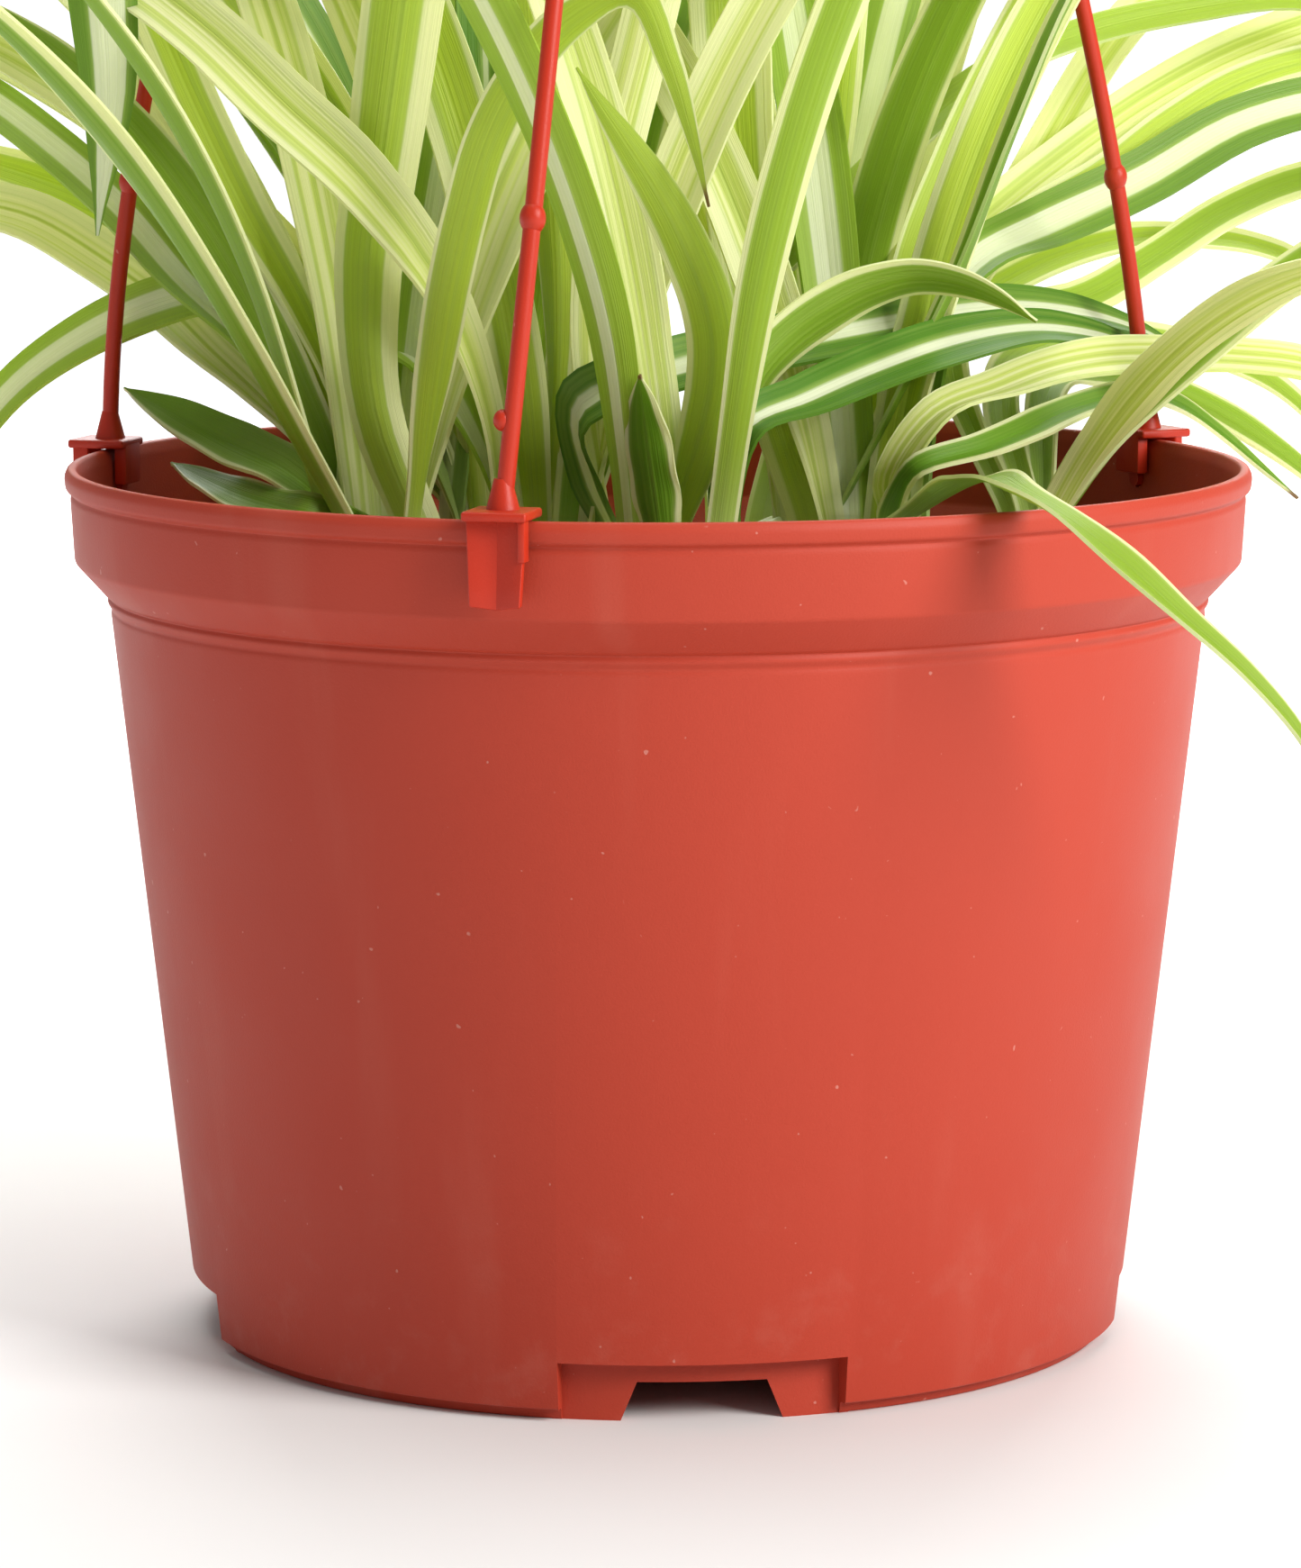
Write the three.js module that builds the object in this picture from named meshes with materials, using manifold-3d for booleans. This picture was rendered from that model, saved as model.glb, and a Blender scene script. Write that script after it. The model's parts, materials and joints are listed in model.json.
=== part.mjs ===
// Potted spider plant in a hanging plastic pot. Millimetres, +Z up, the front is -Y.
//
// Heights in this file are measured up from the plane on which the pot's foot would stand. The whole
// assembly is then lowered, so that the origin is the point of the hook that bears the weight.
import * as THREE from "three";
import { mergeVertices } from "three/addons/utils/BufferGeometryUtils.js";
import Module from "manifold-3d";

const wasm = await Module();
wasm.setup();

// ---- driving dimensions -------------------------------------------------------------------------

const GAP = 0.3; // clearance between pieces that touch on the real thing

const RIM_HEIGHT = 147; // top of the lip
const RIM_RADIUS = 100; // a nominal 200 mm pot
const WALL = 1.6;
const COLLAR_FOOT = 131.5; // below this the collar steps in to the tapered wall
const SHOULDER_HEIGHT = 126;
const SHOULDER_RADIUS = 93.6;
const WALL_TOP_RADIUS = 92.6;
const WALL_FOOT_RADIUS = 79.2;
const WALL_FOOT_HEIGHT = 2; // the wall stops short of the ground, the inset ring carries the pot
const FOOT_RING_RADIUS = 76.8;
const FOOT_RING_WIDTH = 2.6;
const FLOOR_UNDERSIDE = 7;
const FLOOR_THICKNESS = 1.6;
const LATHE_SIDES = 60;

const NOTCH_TURN = 5.3; // degrees, where the first of the four drain notches faces
const NOTCH_COUNT = 4;
const NOTCH_HALF_ANGLE = 17;
const NOTCH_TOP = 10;
const NOTCH_PANEL_RADIUS = 76.4;
const SLOT_TOP_WIDTH = 21;
const SLOT_FOOT_WIDTH = 27;
const SLOT_TOP = 6.4;
const FLOOR_HOLE_RADIUS = 4;
const FLOOR_HOLE_CIRCLE = 48;
const FLOOR_HOLE_COUNT = 4;

const SOIL_TOP = 126;
const SOIL_CROWN = 2; // how much higher the soil stands in the middle

// Each arm's turn in degrees from the front, towards +X, and how far its middle is drawn in and to a side.
const ARMS = {
  front: { turn: -14, drawnIn: 0, sway: 9.5 },
  left: { turn: -106, drawnIn: 1, sway: 0 },
  right: { turn: 119, drawnIn: 8, sway: 0 },
};
const ARM_RADIUS = 1.4;
const ARM_ROOT_RADIUS = 99; // the arms rise in line with the rim
const ARM_BOW_RADIUS = 42; // where they head for before they reach the hub
const ARM_TOP_RADIUS = 5;
const ARM_RISE = 300;
const NUB_RISE = 43;
const NUB_RADIUS = 2.1;
const CLIP_WIDTH = 10.4;
const CLIP_REACH = 5; // how far the flange stands past the lip, either side
const FLANGE_THICKNESS = 1.5;
const LEG_THICKNESS = 2.3;
const LEG_DROP = 6;
const TONGUE_LENGTH = 14.6;
const TONGUE_THICKNESS = 1.6;
const TONGUE_FOOT_WIDTH = 8.2;
const TONGUE_FOLD = 1.3; // how far its sides stand out from its middle
const TONGUE_SPLAY = 1; // how far its foot stands out
const CLIP_PIN_RADIUS = 1.4;
const CLIP_PIN_DROP = 7; // below the lip's top, where the collar is pierced

const HUB_RADIUS = 11;
const HUB_HEIGHT = 11;
const HUB_FOOT = RIM_HEIGHT + ARM_RISE - 6;
const HOOK_WIRE_RADIUS = 1.8;
const HOOK_INNER_RADIUS = 7;
const HANG_HEIGHT = 490; // the hook's bearing point above the foot
const SOCKET_DEPTH = 12;

const CROWN_RADIUS = 13;
const CROWN_RISE = 7; // above the soil
const CROWN_DEPTH = 14;
const ROOT_RADIUS = 4.2;
const ROOT_LENGTH = 62;
const ROOT_COUNT = 3;
const ROOT_LEANS = [13, 18]; // degrees from straight down, used in turn
const CROWN_TWIST = 50; // degrees by which each crown's roots are turned from the last one's

// Shares in this block are of a leaf's length, from 0 at the crown to 1 at the tip.
const BLADE_RINGS = 12;
const BLADE_THICKNESS = 1.1;
const TIP_THINNING = 0.4; // share of the thickness lost by the tip
const BASE_WIDTH = 0.36; // share of the full width where the leaf leaves its crown
const OPEN_BY = 0.32; // where the leaf has its full width
const TAPER_FROM = 0.45; // where it starts to narrow towards the tip
const TAPER_POWER = 2.3;
const BASE_FOLD = 0.62; // tangent of the channel's slope at the foot
const BLADE_FOLD = 0.24; // and along the open blade
const FLAT_BY = 0.4; // where the channel has opened out
const ROLL_FROM = 0.04; // where a leaf starts to roll towards the front
const ROLLED_BY = 0.3; // and where it has finished
const BASE_LIFT = 2.2; // a leaf starts this far above its crown
const LEAF_CLEARANCE = 0.4;

// How an arching leaf's spine is stepped, and how late in its length the droop sets in.
const ARCH_STEPS = 6;
const DROOP_POWER = 1.3;

// What a leaf may try when its place is taken, and what each kind of change costs. Turns are in degrees.
const SEAT_TURNS = [0, 24, -24, 48, -48, 76, -76, 110, -110, 150, -150];
const SEAT_RADII = [10, 6.5, 3];
const LEANS = [0, 3, -3, 6, -6, 9, -9, 13, -13, 18, -18, 24, -24];
const LIFTS = [0, 3, -3, 7];
const SLIMS = [1, 0.85, 0.7];
const LIFT_COST = 1.2;
const TURN_COST = 1 / 16;
const RADIUS_COST = 1 / 4;
const SLIM_COST = 40;

// ---- finishes -----------------------------------------------------------------------------------

function finish(colour, roughness) {
  return new THREE.MeshStandardMaterial({ color: colour, roughness, metalness: 0 });
}

const terracottaPlastic = finish(0xc85540, 0.5);
const hangerPlastic = finish(0xcc4a30, 0.42);
const darkSoil = finish(0x3a2a20, 0.95);
const paleCrown = finish(0xd8dcae, 0.6);
const leafGreens = [0x6f9a34, 0x8db23f, 0x4f7a2a, 0xa9bf62].map((colour) => finish(colour, 0.45));

// ---- solids -------------------------------------------------------------------------------------

function solidOf(geometry) {
  const bare = geometry.clone();
  bare.deleteAttribute("normal");
  bare.deleteAttribute("uv");
  const merged = mergeVertices(bare, 1e-4);
  const mesh = new wasm.Mesh({
    numProp: 3,
    vertProperties: new Float32Array(merged.attributes.position.array),
    triVerts: new Uint32Array(merged.index.array),
  });
  return new wasm.Manifold(mesh);
}

function geometryOf(solid) {
  const mesh = solid.getMesh();
  const geometry = new THREE.BufferGeometry();
  geometry.setAttribute("position", new THREE.BufferAttribute(mesh.vertProperties, 3));
  geometry.setIndex(new THREE.BufferAttribute(mesh.triVerts, 1));
  geometry.computeVertexNormals();
  return geometry;
}

function joined(solids) {
  return solids.reduce((whole, solid) => whole.add(solid));
}

function lessAll(solid, cutters) {
  return cutters.reduce((rest, cutter) => rest.subtract(cutter), solid);
}

// A solid of revolution from [radius, height] pairs, turned to stand on Z.
function turned(profile, sides) {
  const points = profile.map(([radius, height]) => new THREE.Vector2(radius, height));
  return solidOf(new THREE.LatheGeometry(points, sides).rotateX(Math.PI / 2));
}

// A block between two corners.
function block(low, high) {
  const size = high.map((value, axis) => value - low[axis]);
  const middle = high.map((value, axis) => (value + low[axis]) / 2);
  return new THREE.BoxGeometry(...size).translate(...middle);
}

// A round rod of few sides along a curve.
function rod(curve, radius, sides, steps) {
  const corners = [];
  for (let side = 0; side < sides; side += 1) {
    const angle = (2 * Math.PI * side) / sides;
    corners.push(new THREE.Vector2(radius * Math.cos(angle), radius * Math.sin(angle)));
  }
  return new THREE.ExtrudeGeometry(new THREE.Shape(corners), { steps, extrudePath: curve });
}

function radians(degrees) {
  return (degrees * Math.PI) / 180;
}

// Unit vector of a compass turn, measured from the front (-Y) towards +X.
function heading(turn) {
  return new THREE.Vector3(Math.sin(radians(turn)), -Math.cos(radians(turn)), 0);
}

// Moves a geometry made with +X pointing outwards so that it faces the given turn.
function faced(geometry, turn) {
  return geometry.rotateZ(radians(turn - 90));
}

// ---- pot ----------------------------------------------------------------------------------------

const wallInset = WALL / Math.cos(Math.atan2(WALL_TOP_RADIUS - WALL_FOOT_RADIUS, SHOULDER_HEIGHT));
const floorTop = FLOOR_UNDERSIDE + FLOOR_THICKNESS;

function potShell() {
  return turned(
    [
      [0, FLOOR_UNDERSIDE],
      [FOOT_RING_RADIUS - FOOT_RING_WIDTH - 1, FLOOR_UNDERSIDE],
      [FOOT_RING_RADIUS - FOOT_RING_WIDTH, 0],
      [FOOT_RING_RADIUS, 0],
      [FOOT_RING_RADIUS + 0.4, WALL_FOOT_HEIGHT],
      [WALL_FOOT_RADIUS, WALL_FOOT_HEIGHT],
      [WALL_TOP_RADIUS, SHOULDER_HEIGHT - 3.5],
      [WALL_TOP_RADIUS - 0.2, SHOULDER_HEIGHT - 2.6],
      [WALL_TOP_RADIUS + 0.7, SHOULDER_HEIGHT - 1.4],
      [WALL_TOP_RADIUS + 0.2, SHOULDER_HEIGHT - 0.4],
      [SHOULDER_RADIUS, SHOULDER_HEIGHT],
      [RIM_RADIUS - 1.4, COLLAR_FOOT],
      [RIM_RADIUS - 0.8, RIM_HEIGHT - 5],
      [RIM_RADIUS - 1, RIM_HEIGHT - 4],
      [RIM_RADIUS, RIM_HEIGHT - 3.4],
      [RIM_RADIUS + 0.2, RIM_HEIGHT - 1.4],
      [RIM_RADIUS - 0.4, RIM_HEIGHT],
      [RIM_RADIUS - 1.8, RIM_HEIGHT],
      [RIM_RADIUS - 2.4, RIM_HEIGHT - 2],
      [RIM_RADIUS - 3, COLLAR_FOOT + 0.4],
      [SHOULDER_RADIUS - WALL, SHOULDER_HEIGHT + 0.4],
      [WALL_TOP_RADIUS - wallInset, SHOULDER_HEIGHT - 4],
      [WALL_FOOT_RADIUS + 0.8 - wallInset, floorTop + 1.5],
      [WALL_FOOT_RADIUS - 0.8 - wallInset, floorTop],
      [0, floorTop],
    ],
    LATHE_SIDES,
  );
}

// A curved bar of the foot: the part of a ring within an angle either side of a turn.
function ringSector(innerRadius, outerRadius, low, high, halfAngle, turn) {
  const shape = new THREE.Shape();
  shape.absarc(0, 0, outerRadius, -radians(halfAngle), radians(halfAngle), false);
  shape.absarc(0, 0, innerRadius, radians(halfAngle), -radians(halfAngle), true);
  const bar = new THREE.ExtrudeGeometry(shape, { depth: high - low, bevelEnabled: false, curveSegments: 8 });
  return solidOf(faced(bar.translate(0, 0, low), turn));
}

// The drain slot: a trapezoid, wider at the ground, cut outwards through the notch's panel.
function drainSlot(turn) {
  const shape = new THREE.Shape();
  shape.moveTo(-SLOT_FOOT_WIDTH / 2, -1);
  shape.lineTo(SLOT_FOOT_WIDTH / 2, -1);
  shape.lineTo(SLOT_TOP_WIDTH / 2, SLOT_TOP);
  shape.lineTo(-SLOT_TOP_WIDTH / 2, SLOT_TOP);
  const wedge = new THREE.ExtrudeGeometry(shape, { depth: 16, bevelEnabled: false });
  wedge.rotateX(Math.PI / 2).rotateZ(Math.PI / 2).translate(NOTCH_PANEL_RADIUS - 10, 0, 0);
  return solidOf(faced(wedge, turn));
}

function floorHole(turn) {
  const drill = new THREE.CylinderGeometry(FLOOR_HOLE_RADIUS, FLOOR_HOLE_RADIUS, 8, 12);
  drill.rotateX(Math.PI / 2).translate(FLOOR_HOLE_CIRCLE, 0, FLOOR_UNDERSIDE);
  return solidOf(faced(drill, turn));
}

// The hole through the collar that takes a clip's pin.
function clipHole(turn) {
  const radius = CLIP_PIN_RADIUS + GAP;
  const drill = new THREE.CylinderGeometry(radius, radius, 8, 12);
  drill.rotateZ(Math.PI / 2).translate(RIM_RADIUS - 2, 0, RIM_HEIGHT - CLIP_PIN_DROP);
  return solidOf(faced(drill, turn));
}

function pot() {
  let shell = potShell();
  for (let index = 0; index < NOTCH_COUNT; index += 1) {
    const turn = NOTCH_TURN + (360 / NOTCH_COUNT) * index;
    const back = ringSector(
      FOOT_RING_RADIUS - FOOT_RING_WIDTH,
      WALL_FOOT_RADIUS,
      0,
      NOTCH_TOP + WALL,
      NOTCH_HALF_ANGLE + 1.4,
      turn,
    );
    const recess = ringSector(NOTCH_PANEL_RADIUS, RIM_RADIUS, -1, NOTCH_TOP, NOTCH_HALF_ANGLE, turn);
    shell = shell.add(back).subtract(recess).subtract(drainSlot(turn));
  }
  for (let index = 0; index < FLOOR_HOLE_COUNT; index += 1) {
    shell = shell.subtract(floorHole(NOTCH_TURN + (360 / FLOOR_HOLE_COUNT) * (index + 0.5)));
  }
  return lessAll(shell, Object.values(ARMS).map((bend) => clipHole(bend.turn)));
}

// ---- crowns, their roots and the soil -----------------------------------------------------------

// Where the young plants were set in the pot: x and y.
const CROWNS = {
  left: [-46, -14],
  middle: [-17, -8],
  front: [5, -36],
  right: [34, -4],
  back_left: [-28, 36],
  back_right: [26, 40],
  side_right: [62, 20],
};

// A rosette's short stem with its thick water-storing roots spreading down and out.
function crownSolid(centre, turnOffset, growth) {
  const dome = turned(
    [
      [0, SOIL_TOP - CROWN_DEPTH - growth],
      [CROWN_RADIUS * 0.7 + growth, SOIL_TOP - CROWN_DEPTH - growth],
      [CROWN_RADIUS + growth, SOIL_TOP],
      [CROWN_RADIUS - 1 + growth, SOIL_TOP + CROWN_RISE - 2],
      [CROWN_RADIUS * 0.5 + growth, SOIL_TOP + CROWN_RISE + growth],
      [0, SOIL_TOP + CROWN_RISE + growth],
    ],
    10,
  );
  const roots = [];
  for (let index = 0; index < ROOT_COUNT; index += 1) {
    const spindle = new THREE.LatheGeometry(
      [
        new THREE.Vector2(0, -ROOT_LENGTH - growth),
        new THREE.Vector2(ROOT_RADIUS * 0.5 + growth, -ROOT_LENGTH * 0.85),
        new THREE.Vector2(ROOT_RADIUS + growth, -ROOT_LENGTH * 0.5),
        new THREE.Vector2(ROOT_RADIUS * 0.6 + growth, -ROOT_LENGTH * 0.12),
        new THREE.Vector2(0, 0),
      ],
      6,
    );
    const lean = radians(ROOT_LEANS[index % ROOT_LEANS.length]);
    const turn = turnOffset + (360 / ROOT_COUNT) * index;
    spindle.rotateX(Math.PI / 2).rotateY(-lean).translate(3, 0, SOIL_TOP - CROWN_DEPTH / 2);
    roots.push(solidOf(faced(spindle, turn)));
  }
  return joined([dome, ...roots]).translate([centre[0], centre[1], 0]);
}

function soil() {
  const outerAt = (height) =>
    THREE.MathUtils.mapLinear(
      height,
      WALL_FOOT_HEIGHT,
      SHOULDER_HEIGHT - 3.5,
      WALL_FOOT_RADIUS - wallInset - GAP,
      WALL_TOP_RADIUS - wallInset - GAP,
    );
  const clearOfNotch = FOOT_RING_RADIUS - FOOT_RING_WIDTH - GAP;
  const body = turned(
    [
      [0, floorTop + GAP],
      [clearOfNotch, floorTop + GAP],
      [clearOfNotch, NOTCH_TOP + WALL + GAP],
      [outerAt(NOTCH_TOP + WALL + 2), NOTCH_TOP + WALL + 2],
      [outerAt(SOIL_TOP - 7), SOIL_TOP - 7],
      [outerAt(SOIL_TOP - 7) - 1, SOIL_TOP - 2],
      [RIM_RADIUS * 0.6, SOIL_TOP - 0.5],
      [RIM_RADIUS * 0.3, SOIL_TOP + SOIL_CROWN - 1],
      [0, SOIL_TOP + SOIL_CROWN],
    ],
    48,
  );
  const cavities = Object.values(CROWNS).map((centre, index) => crownSolid(centre, CROWN_TWIST * index, GAP));
  return lessAll(body, cavities);
}

// ---- hanger -------------------------------------------------------------------------------------

// Centre line of an arm that faces +X: up from the rim, then bowing in to the hub.
function armCurve({ drawnIn, sway }) {
  const at = (radius, side, rise) => new THREE.Vector3(radius, side, RIM_HEIGHT + rise);
  return new THREE.CubicBezierCurve3(
    at(ARM_ROOT_RADIUS, 0, 1.2),
    at(ARM_ROOT_RADIUS - drawnIn, sway, ARM_RISE * 0.3),
    at(ARM_BOW_RADIUS - drawnIn, sway, ARM_RISE * 0.74),
    at(ARM_TOP_RADIUS, 0, ARM_RISE),
  );
}

// The clip's outer plate: folded along its middle into a shallow channel, and narrower at its foot.
function clipTongue(top) {
  const plate = new THREE.BoxGeometry(TONGUE_THICKNESS, 1, 1, 1, 2, 1);
  const place = plate.attributes.position;
  for (let index = 0; index < place.count; index += 1) {
    const atFoot = place.getZ(index) < 0;
    const side = 2 * place.getY(index);
    const width = atFoot ? TONGUE_FOOT_WIDTH : CLIP_WIDTH - 0.8;
    const outwards = TONGUE_FOLD * Math.abs(side) + (atFoot ? TONGUE_SPLAY : 0);
    const radius = RIM_RADIUS + 0.6 + TONGUE_THICKNESS / 2 + place.getX(index) + outwards;
    place.setXYZ(index, radius, (side * width) / 2, atFoot ? top - TONGUE_LENGTH : top);
  }
  return plate;
}

// The clip that grips the rim: a flange over the lip, a short leg inside, a folded tongue outside,
// a web between tongue and flange, and a pin through the collar.
function clipParts() {
  const half = CLIP_WIDTH / 2;
  const lipTop = RIM_HEIGHT + GAP;
  const innerFace = RIM_RADIUS - CLIP_REACH - 0.2;
  const flangeTop = lipTop + FLANGE_THICKNESS;
  const flange = block([innerFace, -half, lipTop], [RIM_RADIUS + CLIP_REACH, half, flangeTop]);
  const legHalf = half - 1.6;
  const legFoot = RIM_HEIGHT - LEG_DROP;
  const leg = block([innerFace, -legHalf, legFoot], [innerFace + LEG_THICKNESS, legHalf, lipTop + 1]);
  const webRoot = RIM_RADIUS + 1.4;
  const web = block([webRoot, half - 1.6, legFoot], [webRoot + 2.8, half - 0.4, lipTop + 0.6]);
  const pin = new THREE.CylinderGeometry(CLIP_PIN_RADIUS, CLIP_PIN_RADIUS, 5.6, 10);
  pin.rotateZ(Math.PI / 2).translate(RIM_RADIUS - 0.8, 0, RIM_HEIGHT - CLIP_PIN_DROP);
  return [flange, leg, clipTongue(lipTop + 0.8), web, pin];
}

function arm(bend) {
  const curve = armCurve(bend);
  const nub = new THREE.SphereGeometry(NUB_RADIUS, 6, 5);
  nub.translate(...curve.getPointAt(NUB_RISE / curve.getLength()).toArray());
  const flare = new THREE.CylinderGeometry(ARM_RADIUS, ARM_RADIUS * 1.9, 5, 8);
  flare.rotateX(Math.PI / 2).translate(ARM_ROOT_RADIUS, 0, RIM_HEIGHT + GAP + 3.6);
  const parts = [rod(curve, ARM_RADIUS, 8, 22), nub, flare, ...clipParts()];
  return joined(parts.map((part) => solidOf(faced(part, bend.turn))));
}

// The hook's centre line: up out of the hub, out to one side, then round over the bearing point.
function hookCurve() {
  const reach = HOOK_INNER_RADIUS + HOOK_WIRE_RADIUS;
  const middle = HANG_HEIGHT - HOOK_INNER_RADIUS;
  const points = [
    new THREE.Vector3(0, 0, HUB_FOOT + HUB_HEIGHT - 3),
    new THREE.Vector3(0, 0, HUB_FOOT + HUB_HEIGHT + 4),
    new THREE.Vector3(reach * 0.55, 0, middle - 13),
    new THREE.Vector3(reach, 0, middle - 4),
  ];
  for (let degrees = 20; degrees <= 180; degrees += 20) {
    const angle = radians(degrees);
    points.push(new THREE.Vector3(reach * Math.cos(angle), 0, middle + reach * Math.sin(angle)));
  }
  points.push(new THREE.Vector3(-reach - 1.5, 0, middle - 6));
  return new THREE.CatmullRomCurve3(points);
}

function hook() {
  const hub = turned(
    [
      [0, HUB_FOOT],
      [HUB_RADIUS - 0.8, HUB_FOOT],
      [HUB_RADIUS, HUB_FOOT + 1],
      [HUB_RADIUS - 0.5, HUB_FOOT + HUB_HEIGHT * 0.55],
      [HUB_RADIUS * 0.6, HUB_FOOT + HUB_HEIGHT * 0.9],
      [HUB_RADIUS * 0.3, HUB_FOOT + HUB_HEIGHT],
      [0, HUB_FOOT + HUB_HEIGHT],
    ],
    24,
  );
  const sockets = Object.values(ARMS).map((bend) => {
    const curve = armCurve(bend);
    const end = curve.getPointAt(1);
    const beyond = end.clone().addScaledVector(curve.getTangentAt(1), GAP);
    const start = end.clone().addScaledVector(curve.getTangentAt(1), -SOCKET_DEPTH);
    return solidOf(faced(rod(new THREE.LineCurve3(start, beyond), ARM_RADIUS + GAP, 8, 1), bend.turn));
  });
  return lessAll(hub, sockets).add(solidOf(rod(hookCurve(), HOOK_WIRE_RADIUS, 8, 26)));
}

// ---- leaves -------------------------------------------------------------------------------------

const UP = new THREE.Vector3(0, 0, 1);
const FRONT = new THREE.Vector3(0, -1, 0.15).normalize();

// Share of the full width at a distance along the leaf, from 0 at the crown to 1 at the tip.
function widthAt(along) {
  const opening = BASE_WIDTH + (1 - BASE_WIDTH) * THREE.MathUtils.smoothstep(along, 0, OPEN_BY);
  const past = Math.max(0, (along - TAPER_FROM) / (1 - TAPER_FROM));
  return opening * (1 - past ** TAPER_POWER);
}

// Splits the underside's quads along the same diagonals as the upper side's, so that the two faces of a
// twisted blade stay apart. Sides 1 and 2 of the cone are the underside, and its first ring is the tip.
function splitAlike(corners) {
  const perSide = 3 * (2 * BLADE_RINGS - 1);
  for (let start = perSide; start < 3 * perSide; start += perSide) {
    for (let at = start + 3; at < start + perSide; at += 6) {
      const [a, b, d, , c] = corners.slice(at, at + 6);
      corners.set([a, b, c, a, c, d], at);
    }
  }
}

// One strap-shaped blade: a four-sided cone whose rings become shallow V sections along the spine.
// showing is how far the blade is rolled from its natural lie to face the front, from 0 to 1.
function bladeSolid(spine, width, showing, growth) {
  const from = spine.getPointAt(0);
  const to = spine.getPointAt(1);
  const outward = new THREE.Vector3(to.x - from.x, to.y - from.y, 0).normalize();
  const level = new THREE.Vector3().crossVectors(UP, outward);
  const visible = FRONT.clone().multiplyScalar(outward.y < 0 ? -1 : 1);
  const cone = new THREE.ConeGeometry(1, 1, 4, BLADE_RINGS);
  splitAlike(cone.index.array);
  const place = cone.attributes.position;
  for (let index = 0; index < place.count; index += 1) {
    const along = THREE.MathUtils.clamp(place.getY(index) + 0.5, 0, 1);
    const radius = Math.hypot(place.getX(index), place.getZ(index));
    const across = radius > 1e-6 ? place.getX(index) / radius : 0;
    const over = radius > 1e-6 ? place.getZ(index) / radius : 0;
    const tangent = spine.getTangentAt(along);
    const normal = new THREE.Vector3().crossVectors(tangent, level).normalize();
    const rolled = showing * THREE.MathUtils.smoothstep(along, ROLL_FROM, ROLLED_BY);
    normal.lerp(visible, rolled).projectOnPlane(tangent).normalize();
    const side = new THREE.Vector3().crossVectors(normal, tangent);
    const halfWidth = (width * widthAt(along) + growth) / 2;
    const flattened = THREE.MathUtils.smoothstep(along, 0, FLAT_BY);
    const fold = THREE.MathUtils.lerp(BASE_FOLD, BLADE_FOLD, flattened);
    const thickness = BLADE_THICKNESS * (1 - TIP_THINNING * along) + growth;
    const spot = spine.getPointAt(along);
    spot.addScaledVector(side, -across * halfWidth);
    spot.addScaledVector(normal, Math.abs(across) * halfWidth * fold + (over * thickness) / 2);
    place.setXYZ(index, spot.x, spot.y, spot.z);
  }
  return solidOf(cone);
}

// Points of a leaf that nobody sees end on: it rises steeply and its own weight bends it over.
function archingPoints(crown, turn, length, launch, droop) {
  const out = heading(turn);
  const spot = new THREE.Vector3(crown[0], crown[1], SOIL_TOP + CROWN_RISE);
  spot.addScaledVector(out, SEAT_RADII[0]);
  const points = [];
  for (let step = 1; step <= ARCH_STEPS; step += 1) {
    const along = (step - 0.5) / ARCH_STEPS;
    const angle = radians(launch + (droop - launch) * along ** DROOP_POWER);
    spot.addScaledVector(out, (Math.sin(angle) * length) / ARCH_STEPS);
    spot.z += (Math.cos(angle) * length) / ARCH_STEPS;
    points.push(spot.toArray());
  }
  return points;
}

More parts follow.
